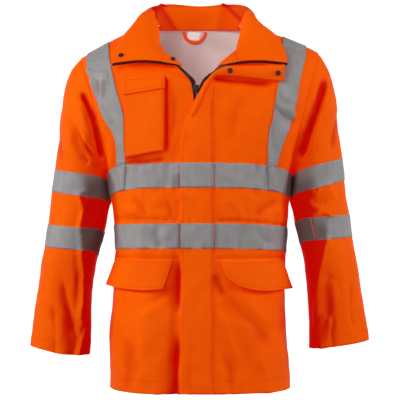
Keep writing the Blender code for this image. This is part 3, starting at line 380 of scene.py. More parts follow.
frontCreases = [
    # beside the storm flap's free edge: deep troughs whose painted shade stands in for the flap's shadow
    crease([(-0.043, -0.458), (-0.044, -0.52), (-0.045, -0.598)], -0.0125, 0.006, 0.013, 0.5, (0.4, 0.3)),
    crease([(-0.045, -0.612), (-0.048, -0.69), (-0.05, -0.752)], -0.0145, 0.007, 0.017, 0.5, (0.4, 0)),
    crease([(-0.04, -0.3), (-0.04, -0.345)], -0.004, 0.004, 0.012, 0.3),
    crease([(-0.042, -0.352), (-0.042, -0.4)], -0.003, 0.004, 0.01, 0.3),
    # right front below the flap
    crease([(-0.06, -0.548), (-0.09, -0.566), (-0.112, -0.59), (-0.116, -0.69)], 0.0062, 0.02, 0.009, 0.5),
    crease([(-0.047, -0.528), (-0.08, -0.552), (-0.108, -0.58)], -0.0052, 0.01, 0.013, 0.4),
    crease([(-0.056, -0.56), (-0.064, -0.61), (-0.06, -0.68)], 0.0042, 0.01, 0.014, 0.4),
    crease([(-0.07, -0.64), (-0.084, -0.7), (-0.086, -0.752)], 0.004, 0.018, 0.014, 0.3, (0.5, 0)),
    crease([(-0.15, -0.6), (-0.146, -0.68), (-0.15, -0.752)], -0.0038, 0.016, 0.012, 0.2, (0.5, 0)),
    # between the bands
    crease([(-0.14, -0.35), (-0.118, -0.372), (-0.105, -0.398)], -0.004, 0.007, 0.01, 0.4),
    crease([(-0.17, -0.366), (-0.145, -0.38), (-0.122, -0.384)], 0.0032, 0.008, 0.006, 0.4),
    crease([(-0.098, -0.348), (-0.085, -0.362), (-0.07, -0.362)], 0.0026, 0.008, 0.006, 0.4),
    crease([(-0.068, -0.352), (-0.06, -0.374), (-0.056, -0.398)], -0.003, 0.008, 0.006, 0.4),
    crease([(0.045, -0.35), (0.07, -0.366), (0.085, -0.392)], 0.003, 0.008, 0.006, 0.4),
    crease([(0.1, -0.348), (0.092, -0.37), (0.1, -0.398)], -0.0026, 0.006, 0.008, 0.4),
    crease([(0.168, -0.358), (0.135, -0.372), (0.108, -0.394)], -0.004, 0.007, 0.01, 0.4),
    crease([(0.17, -0.376), (0.15, -0.384)], 0.0026, 0.006),
    # left front below the flap
    crease([(0.03, -0.5), (0.039, -0.525), (0.053, -0.556)], -0.007, 0.006, 0.014, 0.5),
    crease([(0.048, -0.54), (0.085, -0.585), (0.125, -0.625), (0.156, -0.665)], -0.005, 0.011, 0.018, 0.4),
    crease([(0.062, -0.53), (0.105, -0.572), (0.15, -0.62)], 0.0044, 0.012, 0.016, 0.4),
    crease([(0.032, -0.565), (0.052, -0.62), (0.078, -0.69)], 0.005, 0.01, 0.016, 0.4),
    crease([(0.038, -0.64), (0.06, -0.7), (0.066, -0.752)], -0.0042, 0.014, 0.01, 0.3, (0.5, 0)),
    crease([(0.105, -0.65), (0.132, -0.705), (0.14, -0.752)], 0.0042, 0.016, 0.012, 0.4, (0.5, 0)),
    crease([(0.17, -0.56), (0.164, -0.64)], -0.0028, 0.01),
    # on the storm flap: its double seam, then soft folds
    crease([(0.0235, -0.15), (0.0235, -0.745)], -0.0022, 0.0018, 0.003, 0.6, (0.02, 0)),
    crease([(-0.03, -0.33), (-0.005, -0.372), (0.012, -0.4)], 0.0022, 0.01, 0.007, 0.4),
    crease([(-0.025, -0.5), (0.005, -0.56), (0.012, -0.64)], 0.0026, 0.009, 0.012, 0.4),
    crease([(-0.008, -0.62), (-0.022, -0.69), (-0.016, -0.752)], -0.0024, 0.01, 0.008, 0.3, (0.4, 0)),
    crease([(-0.02, -0.18), (0.0000, -0.23), (-0.004, -0.275)], 0.0018, 0.012),
    # above the chest band
    crease([(0.14, -0.15), (0.118, -0.19), (0.12, -0.25)], 0.003, 0.012, 0.009, 0.3),
    crease([(0.09, -0.13), (0.07, -0.18), (0.065, -0.262)], -0.0026, 0.012, 0.015, 0.3),
    crease([(0.045, -0.15), (0.052, -0.2)], 0.002, 0.012, 0.009, 0.2),
    crease([(-0.06, -0.11), (-0.052, -0.17), (-0.058, -0.262)], -0.0034, 0.008, 0.012, 0.4),
    crease([(-0.048, -0.2), (-0.056, -0.25), (-0.07, -0.272)], 0.0024, 0.007),
    # beside and below the chest pocket, and where the storm flap's top lies on the front: deep troughs whose
    # painted shade stands in for the shadows of the pocket and the flap's top
    crease([(-0.071, -0.1), (-0.07, -0.2), (-0.0695, -0.268)], -0.0115, 0.007, 0.004, 0.6, (0.1, 0.1)),
    crease([(-0.07, -0.275), (-0.11, -0.281), (-0.15, -0.281)], -0.0085, 0.004, 0.006, 0.5, (0.1, 0.1)),
    crease([(0.028, -0.108), (0.06, -0.1125), (0.1, -0.116), (0.16, -0.1215)],
           -0.012, 0.006, 0.009, 0.5, (0.05, 0.2)),
    # seams across the body
    crease([(-0.043, -0.3965), (-0.112, -0.3955), (-0.184, -0.396)],
           -0.0052, 0.0024, 0.0034, 0.6, (0.02, 0.02)),
    crease([(0.029, -0.3965), (0.108, -0.399), (0.186, -0.409)], -0.0052, 0.0024, 0.0034, 0.6, (0.02, 0.02)),
    crease([(-0.043, -0.473), (-0.184, -0.4735)], -0.0032, 0.0024, 0.0034, 0.6, (0.02, 0.02)),
    crease([(0.029, -0.473), (0.186, -0.4735)], -0.0032, 0.0024, 0.0034, 0.6, (0.02, 0.02)),
    # across the shoulder bands
    crease([(-0.24, -0.086), (-0.215, -0.099), (-0.183, -0.099)], 0.0075, 0.004, 0.015, 0.6, (0.1, 0.1)),
    crease([(-0.213, -0.108), (-0.202, -0.15)], -0.0085, 0.004, 0.008, 0.6),
    crease([(-0.193, -0.104), (-0.201, -0.152)], 0.008, 0.004, 0.008, 0.6),
    crease([(-0.226, -0.106), (-0.213, -0.15)], 0.0064, 0.004, 0.008, 0.6),
    crease([(-0.206, -0.158), (-0.19, -0.186), (-0.174, -0.202)], 0.0054, 0.004, 0.01, 0.6),
    crease([(0.18, -0.16), (0.195, -0.2)], 0.0075, 0.004, 0.01, 0.6),
    crease([(0.15, -0.116), (0.17, -0.15), (0.2, -0.164)], 0.0056, 0.012, 0.004, 0.6),
    crease([(0.152, -0.164), (0.176, -0.186), (0.198, -0.198)], -0.0064, 0.004, 0.012, 0.6, (0.1, 0.2)),
    crease([(0.15, -0.19), (0.146, -0.23), (0.15, -0.262)], -0.0024, 0.006, 0.008, 0.4),
    # over the chest band, under the shoulder bands
    crease([(-0.164, -0.29), (-0.156, -0.345)], 0.004, 0.006, 0.006, 0.4, (0.2, 0.25)),
    crease([(-0.15, -0.288), (-0.153, -0.345)], -0.004, 0.004, 0.006, 0.5, (0.2, 0.25)),
    crease([(0.147, -0.292), (0.15, -0.345)], 0.0038, 0.006, 0.006, 0.4, (0.2, 0.25)),
    crease([(0.137, -0.288), (0.132, -0.345)], -0.004, 0.005, 0.005, 0.5, (0.2, 0.25)),
    crease([(-0.118, -0.286), (-0.108, -0.32), (-0.112, -0.34)], 0.0022, 0.008, 0.008, 0.4),
    crease([(0.095, -0.29), (0.115, -0.335)], 0.002, 0.008, 0.008, 0.4),
    crease([(-0.096, -0.28), (-0.084, -0.336)], 0.003, 0.003, 0.014, 0.6, (0.1, 0.1)),
    crease([(-0.062, -0.28), (-0.068, -0.336)], -0.0028, 0.004, 0.012, 0.6, (0.1, 0.2)),
    crease([(0.056, -0.284), (0.064, -0.336)], 0.0028, 0.012, 0.003, 0.6, (0.2, 0.1)),
    crease([(0.118, -0.282), (0.108, -0.32), (0.114, -0.35)], -0.0034, 0.004, 0.012, 0.6, (0.1, 0.1)),
    # over the waist band
    crease([(-0.118, -0.402), (-0.124, -0.458)], 0.003, 0.012, 0.003, 0.6, (0.1, 0.1)),
    crease([(-0.08, -0.402), (-0.086, -0.43), (-0.078, -0.458)], -0.0034, 0.004, 0.012, 0.6, (0.1, 0.1)),
    crease([(0.086, -0.402), (0.076, -0.458)], -0.0028, 0.012, 0.004, 0.6, (0.1, 0.1)),
    crease([(0.148, -0.41), (0.156, -0.462)], 0.003, 0.004, 0.012, 0.6, (0.1, 0.1)),
    crease([(-0.095, -0.412), (-0.088, -0.44), (-0.07, -0.456)], -0.003, 0.007, 0.009, 0.4),
    crease([(-0.062, -0.408), (-0.07, -0.44)], 0.0024, 0.006, 0.008, 0.4),
    crease([(0.11, -0.412), (0.13, -0.436), (0.156, -0.452)], -0.003, 0.007, 0.009, 0.4),
    crease([(0.05, -0.41), (0.062, -0.448)], 0.0022, 0.008, 0.006, 0.4),
]
# the sleeve side of the fronts swells over the outer half of the shoulder bands
coverCreases = [
    crease([(-0.216, -0.164), (-0.1985, -0.204), (-0.1885, -0.222), (-0.179, -0.236), (-0.1775, -0.256),
            (-0.1785, -0.278), (-0.1755, -0.335)], 0.0055, 0.0055, 0.014, 0.0, (0.2, 0.22)),
    crease([(0.202, -0.196), (0.19, -0.217), (0.179, -0.238), (0.172, -0.257), (0.167, -0.278),
            (0.163, -0.335)], 0.0055, 0.014, 0.0055, 0.0, (0.2, 0.22)),
]
backCreases = [
    crease([(-0.15, -0.13), (-0.09, -0.18), (-0.04, -0.25)], 0.006, 0.016, 0.024, 0.3),
    crease([(-0.12, -0.12), (-0.06, -0.15), (-0.01, -0.2)], -0.004, 0.014, 0.02, 0.3),
    crease([(0.145, -0.14), (0.105, -0.19), (0.085, -0.262)], 0.0056, 0.018, 0.014, 0.3),
    crease([(0.03, -0.09), (0.02, -0.17), (0.04, -0.262)], -0.005, 0.018, 0.014, 0.3),
    crease([(-0.11, -0.35), (-0.07, -0.372), (0.0, -0.388)], -0.004, 0.01, 0.012, 0.4),
    crease([(0.15, -0.352), (0.1, -0.38), (0.06, -0.396)], 0.0036, 0.01, 0.012, 0.4),
    crease([(-0.13, -0.47), (-0.115, -0.56), (-0.135, -0.68), (-0.13, -0.752)],
           -0.008, 0.016, 0.01, 0.4, (0.3, 0)),
    crease([(-0.085, -0.48), (-0.095, -0.57), (-0.08, -0.64)], 0.0046, 0.012, 0.016, 0.4),
    crease([(-0.04, -0.47), (-0.055, -0.56), (-0.03, -0.66)], 0.0062, 0.018, 0.012, 0.4),
    crease([(0.01, -0.52), (0.0, -0.63), (0.015, -0.752)], -0.0074, 0.018, 0.012, 0.4, (0.35, 0)),
    crease([(0.07, -0.468), (0.085, -0.55), (0.075, -0.65)], 0.0058, 0.014, 0.018, 0.4),
    crease([(0.14, -0.48), (0.12, -0.57), (0.135, -0.752)], -0.007, 0.012, 0.018, 0.4, (0.35, 0)),
    crease([(-0.165, -0.36), (-0.15, -0.39)], 0.003, 0.01, 0.008, 0.3),
    crease([(0.02, -0.356), (0.03, -0.386)], 0.0026, 0.009, 0.007, 0.3),
]
sleeveFront = {
    -1: [
        # beside the armhole: a deep fold, then softer ones towards the outside
        crease([(-0.244, -0.132), (-0.225, -0.172), (-0.212, -0.206), (-0.205, -0.24), (-0.2, -0.28)],
               -0.015, 0.006, 0.006, 0.5, (0.12, 0.2)),
        crease([(-0.26, -0.144), (-0.242, -0.18), (-0.23, -0.218), (-0.224, -0.25)],
               0.0056, 0.008, 0.012, 0.6, (0.25, 0.3)),
        crease([(-0.266, -0.186), (-0.238, -0.237), (-0.208, -0.279)],
               -0.0058, 0.004, 0.015, 0.6, (0.3, 0.2)),
        crease([(-0.284, -0.17), (-0.268, -0.222), (-0.248, -0.276)], 0.0052, 0.016, 0.007, 0.5),
        crease([(-0.292, -0.205), (-0.286, -0.25), (-0.276, -0.288)], -0.003, 0.004, 0.016, 0.5),
        crease([(-0.242, -0.262), (-0.224, -0.284)], -0.0034, 0.004, 0.008, 0.5),
        # between the bands: one long edge, with crushed cloth on its inner side
        crease([(-0.251, -0.338), (-0.24, -0.379), (-0.25, -0.42)], 0.008, 0.017, 0.005, 0.6, (0.08, 0.08)),
        crease([(-0.236, -0.35), (-0.22, -0.356), (-0.202, -0.352)], 0.0032, 0.004, 0.007, 0.5),
        crease([(-0.236, -0.372), (-0.218, -0.384), (-0.204, -0.38)], -0.0034, 0.004, 0.008, 0.5),
        crease([(-0.24, -0.396), (-0.224, -0.402), (-0.208, -0.416)], 0.003, 0.005, 0.008, 0.5),
        crease([(-0.248, -0.408), (-0.242, -0.466)], 0.006, 0.014, 0.005, 0.5, (0.1, 0.1)),
        # below the bands
        crease([(-0.248, -0.452), (-0.242, -0.51), (-0.244, -0.561), (-0.25, -0.598), (-0.24, -0.622),
                (-0.248, -0.653), (-0.254, -0.68)], 0.0082, 0.015, 0.0045, 0.6, (0.08, 0.0)),
        crease([(-0.286, -0.506), (-0.2723, -0.561), (-0.257, -0.612), (-0.253, -0.646)],
               -0.0052, 0.004, 0.016, 0.6),
        crease([(-0.23, -0.596), (-0.236, -0.624), (-0.229, -0.65), (-0.234, -0.676)],
               0.0036, 0.005, 0.004, 0.5, (0.2, 0)),
        crease([(-0.306, -0.56), (-0.296, -0.62), (-0.298, -0.672)], -0.003, 0.005, 0.018, 0.5, (0.3, 0)),
        crease([(-0.322, -0.47), (-0.31, -0.52)], 0.0026, 0.012, 0.007, 0.4),
    ],
    1: [
        crease([(0.264, -0.1), (0.242, -0.17), (0.222, -0.225), (0.205, -0.28)],
               -0.013, 0.006, 0.013, 0.5, (0.15, 0.15)),
        crease([(0.276, -0.14), (0.254, -0.196), (0.236, -0.262)], 0.0062, 0.007, 0.016, 0.5, (0.25, 0.2)),
        crease([(0.295, -0.16), (0.276, -0.215), (0.268, -0.262)], -0.004, 0.016, 0.005, 0.5),
        crease([(0.23, -0.088), (0.2255, -0.112)], -0.0044, 0.003, 0.005, 0.6),
        crease([(0.246, -0.082), (0.24, -0.124), (0.227, -0.166)], 0.0034, 0.005, 0.012, 0.5),
        crease([(0.24, -0.246), (0.224, -0.262), (0.206, -0.272)], 0.003, 0.004, 0.007, 0.5),
        # between the bands
        crease([(0.26, -0.318), (0.278, -0.355), (0.265, -0.394)], 0.008, 0.005, 0.017, 0.6, (0.08, 0.08)),
        crease([(0.254, -0.334), (0.238, -0.344), (0.218, -0.34)], 0.003, 0.004, 0.007, 0.5),
        crease([(0.266, -0.356), (0.244, -0.364), (0.22, -0.36)], -0.0036, 0.005, 0.008, 0.5),
        crease([(0.256, -0.376), (0.236, -0.384), (0.214, -0.398)], 0.003, 0.005, 0.008, 0.5),
        crease([(0.266, -0.384), (0.26, -0.446)], 0.006, 0.005, 0.014, 0.5, (0.1, 0.1)),
        # below the bands
        crease([(0.261, -0.428), (0.2466, -0.497), (0.2427, -0.544), (0.239, -0.606), (0.25, -0.653),
                (0.252, -0.68)], 0.0076, 0.015, 0.005, 0.6, (0.08, 0.0)),
        crease([(0.247, -0.51), (0.27, -0.514), (0.286, -0.526), (0.288, -0.566)],
               -0.0016, 0.003, 0.014, 0.5, (0.2, 0.3)),
        crease([(0.242, -0.61), (0.256, -0.598), (0.274, -0.606)], 0.0018, 0.004, 0.009, 0.5, (0.2, 0.3)),
        crease([(0.274, -0.59), (0.268, -0.63), (0.27, -0.672)], -0.0015, 0.014, 0.004, 0.5, (0.3, 0)),
        crease([(0.312, -0.5), (0.308, -0.58), (0.318, -0.65)], -0.003, 0.018, 0.005, 0.5),
    ],
}


def mirrored(side, path):
    return [(side * x, z) for x, z in path]


sleeveBack = {
    side: [
        crease(mirrored(side, [(0.262, -0.12), (0.236, -0.175), (0.215, -0.245)]), -0.0095, 0.01, 0.014, 0.4),
        crease(mirrored(side, [(0.285, -0.15), (0.262, -0.205), (0.24, -0.262)]), 0.0064, 0.014, 0.01, 0.3),
        crease(mirrored(side, [(0.222, -0.345), (0.262, -0.372), (0.3, -0.38)]), -0.0066, 0.009, 0.011, 0.4),
        crease(mirrored(side, [(0.226, -0.378), (0.256, -0.396)]), 0.0048, 0.009, 0.007, 0.4),
        crease(mirrored(side, [(0.262, -0.47), (0.25, -0.54), (0.262, -0.62)]), 0.0066, 0.012, 0.01, 0.4),
        crease(mirrored(side, [(0.3, -0.48), (0.285, -0.56), (0.3, -0.655)]),
               -0.0066, 0.012, 0.014, 0.4, (0.3, 0.1)),
    ] for side in (-1, 1)
}
sleeveBack[-1].append(crease([(-0.318, -0.44), (-0.305, -0.52)], 0.004, 0.012, 0.01, 0.3))
sleeveBack[1].append(crease([(0.275, -0.59), (0.286, -0.65)], 0.0044, 0.01, 0.012, 0.3))
collarCreases = [
    crease([(-0.0834, 0.072), (-0.068, 0.04), (-0.05, 0.006)], -0.012, 0.004, 0.017, 0.6, (0.0, 0.05)),
    crease([(0.0509, 0.072), (0.057, 0.044), (0.065, 0.01)], -0.011, 0.019, 0.004, 0.6, (0.0, 0.05)),
    crease([(-0.106, 0.05), (-0.096, 0.03), (-0.09, 0.008)], 0.005, 0.007, 0.006, 0.5),
    crease([(0.092, 0.05), (0.088, 0.03)], 0.005, 0.006, 0.007, 0.5),
    crease([(-0.048, 0.058), (-0.03, 0.034), (-0.02, 0.012)], 0.003, 0.014, 0.005, 0.5),
    crease([(0.024, 0.062), (0.012, 0.034), (0.01, 0.012)], 0.0028, 0.005, 0.012, 0.5),
]
flat = {
    # the bands calm the creases under them, their edges pucker, and small facets lie all over
    "bandCalm": 0.15, "pucker": 0.0007, "puckerPitch": 0.017, "puckerReach": 0.012, "crush": 0.0011,
    # cloth pushed together under the arm, overlaps at the armhole and side seams, bands pressed down
    "underarm": 0.0042, "seamLap": 0.0014, "sideLap": 0.0006, "sink": 0.0006, "cuffSink": 1.8,
    # the collar's two peaks, the shade of its inside, and the bow of the right leaf's inner edge
    "peak": 0.0042, "shade": 0.0042, "vee": 0.0080,
}
# the body bands: top, foot, and how far they hang at the sides
bandRows = [(-0.282, -0.332, 0.0265), (-0.404, -0.454, 0.009)]
trunk = {"halfWidth": 0.19, "halfDepth": 0.145, "hang": 2.6, "clear": 0.012, "fade": 0.05}
# the armhole seam leans out as it rises, and bows in at the middle
armhole = {"foot": -0.302, "height": 0.242, "across": 0.1935, "lean": 0.057, "bow": 0.010}
# how soon and how fast a trough turns to the deep colour of painted shade, on the body and on the sleeves
troughs = {"gain": 105.0, "bodyFrom": 0.0008, "sleeveFrom": 0.0015, "sleeveGain": 2.2}
lining = {"share": 0.35, "most": 0.0016}
# where the cloth is pushed together under the arm
underarm = {"foot": -0.37, "footFade": 0.02, "top": -0.296, "topFade": 0.012, "inner": 0.165, "fade": 0.02,
            "reach": 0.05, "share": 0.6}
# crushed facets: their sizes, how many ways each runs, and how far they are bent out of line
facets = {"waves": (0.085, 0.060, 0.043, 0.031), "ways": 3, "sway": 0.012, "swayTurns": 23.0, "level": 0.64,
          "share": 0.75}


def bandHang(places):
    return (np.abs(places[:, 0]) / trunk["halfWidth"]) ** trunk["hang"]


def armholeSeam(places):
    # how far out the armhole seam lies at each height
    rise = np.clip((places[:, 2] - armhole["foot"]) / armhole["height"], 0, 1)
    return armhole["across"] + armhole["lean"] * rise - armhole["bow"] * (1 - (2 * rise - 1) ** 2)


def bandShare(places):
    # 1 on the body bands, 0 away from them
    drop = bandHang(places)
    share = np.zeros(len(places))
    for top, foot, fall in bandRows:
        middle = (top + foot) / 2 - drop * fall
        share = np.maximum(share, smoothStep(1.6 - np.abs(places[:, 2] - middle) / 0.022))
    return share


crushWaves = []
crushSeed = np.random.default_rng(11)
for wave in facets["waves"]:
    for turn in range(facets["ways"]):
        way = crushSeed.normal(size=3)
        crushWaves.append((way / np.linalg.norm(way) * 2 * math.pi / wave, crushSeed.uniform(0, 6.28), wave))


def crush(places):
    # light facets all over, as in stiff coated cloth: waves folded into soft creases
    bent = places + facets["sway"] * np.sin(places[:, [2, 0, 1]] * facets["swayTurns"] + 1.0)
    total = np.zeros(len(places))
    for way, start, wave in crushWaves:
        total += (facets["level"] - np.abs(np.sin(bent @ way / 2 + start))) * wave / facets["waves"][0]
    return total * flat["crush"] * facets["share"]


def bodyOut(places):
    # outward direction of the body: level round the trunk, turning up over the shoulders
    lean = smoothStep((places[:, 2] + 0.16) / 0.16) * 1.1
    across = places[:, 0] / trunk["halfWidth"] ** 2
    deep = places[:, 1] / trunk["halfDepth"] ** 2
    out = np.stack([across, deep, np.zeros(len(places))], axis=1)
    out /= np.linalg.norm(out, axis=1, keepdims=True) + 1e-9
    out[:, 2] = lean
    return out / np.linalg.norm(out, axis=1, keepdims=True)


sleeveAxis = np.array([
    # z, x of the middle, y of the middle
    (-0.700, 0.293, -0.024), (-0.600, 0.288, -0.019), (-0.500, 0.276, -0.013), (-0.420, 0.262, -0.009),
    (-0.360, 0.254, -0.004), (-0.300, 0.250, 0.000), (-0.200, 0.245, 0.001), (-0.060, 0.235, 0.001),
])


def sleeveOut(places, side):
    middleX = np.interp(places[:, 2], sleeveAxis[:, 0], sleeveAxis[:, 1]) * side
    middleY = np.interp(places[:, 2], sleeveAxis[:, 0], sleeveAxis[:, 2])
    out = np.stack([places[:, 0] - middleX, places[:, 1] - middleY, np.zeros(len(places))], axis=1)
    out /= np.linalg.norm(out, axis=1, keepdims=True) + 1e-9
    out[:, 2] = smoothStep((places[:, 2] + 0.20) / 0.14) * 0.7
    return out / np.linalg.norm(out, axis=1, keepdims=True)


def bodyMove(places, covers=True):
    # how far each point of a body piece moves, and how deep it lies in a trough, which sets its painted shade
    spots = places[:, [0, 2]]
    front = smoothStep((-places[:, 1] - trunk["clear"]) / trunk["fade"])
    back = smoothStep((places[:, 1] - trunk["clear"]) / trunk["fade"])
    height = creaseHeight(spots, frontCreases) * front + creaseHeight(spots, backCreases) * back
    height += crush(places)
    height *= 1 - flat["bandCalm"] * bandShare(places)
    ripple = np.sin(places[:, 0] * 2 * math.pi / flat["puckerPitch"] + 2.0 * np.sin(places[:, 0] * 31))
    near = np.zeros(len(places))
    drop = bandHang(places)
    for top, foot, fall in bandRows:
        for edge in (top, foot):
            away = (places[:, 2] - edge + drop * fall) / flat["puckerReach"]
            near += np.exp(-away ** 2)
    height += flat["pucker"] * ripple * near * np.where(places[:, 2] < -0.25, 1, 0)
    if covers:
        height += creaseHeight(spots, coverCreases) * front
    seam = armholeSeam(places)
    edge = smoothStep((seam - np.abs(places[:, 0]) - 0.001) / 0.010)
    edge = np.where(places[:, 2] > armhole["foot"], edge, 1)
    shoulder = smoothStep((np.abs(places[:, 1]) - 0.002) / 0.02)
    edge = np.where(places[:, 2] > -0.12, edge * shoulder, edge)
    under = smoothStep((places[:, 2] - underarm["foot"]) / underarm["footFade"])
    under = under * smoothStep((underarm["top"] - places[:, 2]) / underarm["topFade"])
    under *= (smoothStep((np.abs(places[:, 0]) - underarm["inner"]) / underarm["fade"])
              * smoothStep(1.4 - np.abs(places[:, 1]) / underarm["reach"]))
    shift = height * edge * (1 - 0.5 * under) + flat["underarm"] * underarm["share"] * under
    push = bodyOut(places) * shift[:, None]
    push[:, 1] -= np.sign(places[:, 1]) * flat["sideLap"] * smoothStep(1.5 - np.abs(places[:, 1]) / 0.003)
    return push, height * edge


def tapeMove(places, name):
    # a band follows its cloth, pressed onto it, and its ends run under the storm flap
    push, height = bodyMove(places, "shoulder" not in name)
    push -= bodyOut(places) * flat["sink"]
    if name.endswith("tape_right"):
        push[:, 0] += 0.0024 * smoothStep((places[:, 0] + 0.046) / 0.004)
        # painted shadow: the right band darkens where it runs under the storm flap's edge
        height = height - 0.006 * smoothStep((places[:, 0] + 0.048) / 0.006)
    elif name.endswith("tape_left"):
        push[:, 0] -= 0.0010 * smoothStep((0.034 - places[:, 0]) / 0.004)
    elif name.endswith("tape_flap"):
        push[:, 0] += 0.0009 * smoothStep((places[:, 0] - 0.020) / 0.004)
        push[:, 0] -= 0.0014 * smoothStep((-0.033 - places[:, 0]) / 0.004)
    return push, height


def cuffTapeMove(places, side):
    push, height = sleeveMove(places, side)
    return push - sleeveOut(places, side) * flat["sink"] * flat["cuffSink"], height


def sleeveMove(places, side):
    spots = places[:, [0, 2]]
    middleY = np.interp(places[:, 2], sleeveAxis[:, 0], sleeveAxis[:, 2])
    front = smoothStep((middleY - places[:, 1] + 0.02) / 0.05)
    back = smoothStep((places[:, 1] - middleY - 0.012) / 0.05)
    height = creaseHeight(spots, sleeveFront[side]) * front + creaseHeight(spots, sleeveBack[side]) * back
    # nothing moves at the armhole seam
    seam = armholeSeam(places)
    height += crush(places)
    # the trough depth that sets the painted shade reaches right up to the seam
    deep = height * smoothStep((np.abs(places[:, 0]) - seam + 0.001) / 0.003)
    height = height * smoothStep((np.abs(places[:, 0]) - seam - 0.0005) / 0.006)
    out = sleeveOut(places, side)
    inward = smoothStep((-out[:, 0] * side - 0.45) / 0.3)
    inward *= smoothStep((places[:, 2] + 0.385) / 0.03) * smoothStep((-0.284 - places[:, 2]) / 0.012)
    shift = height * (1 - 0.6 * inward) + flat["underarm"] * inward
    push = out * shift[:, None]
    near = smoothStep(1 - (np.abs(places[:, 0]) - seam) / 0.004) * smoothStep((places[:, 2] + 0.31) / 0.01)
    push[:, 0] -= side * near * flat["seamLap"]
    return push, deep


def collarMove(places):
    spots = places[:, [0, 2]]
    share = smoothStep((places[:, 1] + 0.01) / 0.05)
    height = creaseHeight(spots, collarCreases) * share
    push = np.zeros_like(places)
    push[:, 1] = -height
    peak = np.exp(-((places[:, 0] + 0.0834) / 0.005) ** 2) + np.exp(-((places[:, 0] - 0.0509) / 0.005) ** 2)
    # the right leaf's inner edge bows out beside the neck opening
    bow = np.exp(-((places[:, 2] + 0.040) / 0.020) ** 2) * smoothStep((-0.02 - places[:, 1]) / 0.02)
    push[:, 0] -= flat["vee"] * bow * smoothStep((places[:, 0] + 0.105) / 0.03) * (places[:, 0] < 0)
    push[:, 2] = flat["peak"] * peak * smoothStep((places[:, 2] - 0.056) / 0.010) * share
    return push, height - flat["shade"] * share * smoothStep((places[:, 2] - 0.001) / 0.02)


# cloth pieces from their own solids
def rawCloth(name, sharpFrom=42):
    # the node's faces joined to quads, its rims creased, and its inner wall marked
    work = bmesh.new()
    work.from_mesh(nodes[name].data)
    bmesh.ops.remove_doubles(work, verts=work.verts, dist=0.00002)
    bmesh.ops.join_triangles(work, faces=work.faces, angle_face_threshold=math.radians(35),
                             angle_shape_threshold=math.radians(60))
    layer = work.edges.layers.float.new("crease_edge")
    limit = math.radians(sharpFrom)
    for edge in work.edges:
        edge[layer] = 1.0 if edge.calc_face_angle(0) > limit else 0.0
    walls = []
    waiting = set(work.faces)
    while waiting:
        wall = [waiting.pop()]
        for face in wall:
            for edge in face.edges:
                if edge[layer] < 0.5:
                    for other in edge.link_faces:
                        if other in waiting:
                            waiting.remove(other)
                            wall.append(other)
        walls.append(wall)
    walls.sort(key=lambda wall: -sum(face.calc_area() for face in wall))
    for face in work.faces:
        face.material_index = 0
    return work, walls[:2]


def facing(wall, side):
    # positive when a wall looks away from the inside of the body or sleeve
    total = 0.0
    for face in wall:
        place = face.calc_center_median()
        if side:
            middle = Vector((side * 0.25, 0, place.z - 0.02))
        else:
            middle = Vector((place.x * 0.7, 0, min(place.z, -0.12) - 0.06))
        total += face.normal.dot((place - middle).normalized()) * face.calc_area()
    return total


def shapeCloth(name, move=None, finish=None, inner=None, side=0, levels=2):
    # a finer copy of a cloth node, moved by its creases, with painted shade marked in its troughs
    work, walls = rawCloth(name)
    if inner is not None:
        walls.sort(key=lambda wall: facing(wall, side))
        for face in walls[0]:
            face.material_index = 1
    raw = bpy.data.meshes.new(name + "Raw")
    raw.materials.append(finish or orangeCloth)
    if inner is not None:
        raw.materials.append(inner)
    work.to_mesh(raw)
    work.free()
    holder = bpy.data.objects.new(name + "Raw", raw)
    scene.collection.objects.link(holder)
    smooth = holder.modifiers.new("smooth", "SUBSURF")
    smooth.levels = levels
    smooth.render_levels = levels
    smooth.use_limit_surface = False
    shaped = bpy.data.meshes.new_from_object(holder.evaluated_get(bpy.context.evaluated_depsgraph_get()))
    bpy.data.objects.remove(holder)
    shaped.name = name + "Cloth"
    places = np.zeros(len(shaped.vertices) * 3)
    shaped.vertices.foreach_get("co", places)
    places = places.reshape(-1, 3)
    hollow = np.zeros(len(places))
    if move is not None:
        push, height = move(places)
        if inner is not None:
            lined = np.zeros(len(places), bool)
            for face in shaped.polygons:
                if face.material_index == 1:
                    lined[list(face.vertices)] = True
            # the inner wall keeps its distance, so that it doesn't come through where the cloth is steep
            away = np.zeros(len(places) * 3)
            shaped.vertices.foreach_get("normal", away)
            size = np.linalg.norm(push, axis=1)
            lift = np.where(lined, np.minimum(size * lining["share"], lining["most"]), 0)
            push += away.reshape(-1, 3) * lift[:, None]
        places = places + push
        shaped.vertices.foreach_set("co", places.ravel())
        # troughs get painted shade: the deeper the trough, the darker and redder the cloth
        hollow = np.clip((-height - troughs["bodyFrom"]) * troughs["gain"], 0, 1)
        if side:
            # the side of a sleeve that faces the body lies in its shade
            depth = -height - troughs["sleeveFrom"]
            hollow = np.clip(depth * troughs["gain"] * troughs["sleeveGain"], 0, 1)
            shaped.update()
            turned = np.zeros(len(places) * 3)
            shaped.vertices.foreach_get("normal", turned)
            inward = -turned.reshape(-1, 3)[:, 0] * side
            low = smoothStep((-0.295 - places[:, 2]) / 0.04) * 0.75 + 0.25
            hollow = np.maximum(hollow, smoothStep((inward - 0.06) / 0.40) * low)
    layer = shaped.attributes.new("hollow", "FLOAT", "POINT")
    layer.data.foreach_set("value", hollow.astype(np.float32))
    shaped.shade_smooth()
    shaped.set_sharp_from_angle(angle=math.radians(46))
    made = bpy.data.objects.new(name + "Cloth", shaped)
    scene.collection.objects.link(made)
    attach(made, "jacket")
    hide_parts(name)
    return made


made = {}
for side, word in ((-1, "right"), (1, "left")):
    made["front_" + word] = shapeCloth("front_" + word, bodyMove, inner=liningKnit, levels=3)
    made["sleeve_" + word] = shapeCloth("sleeve_" + word, lambda places, side=side: sleeveMove(places, side),
                                        inner=liningKnit, side=side, levels=3)
made["back"] = shapeCloth("back", bodyMove, inner=liningKnit, levels=3)
made["collar"] = shapeCloth("collar", collarMove, levels=3)
print("main pieces made")

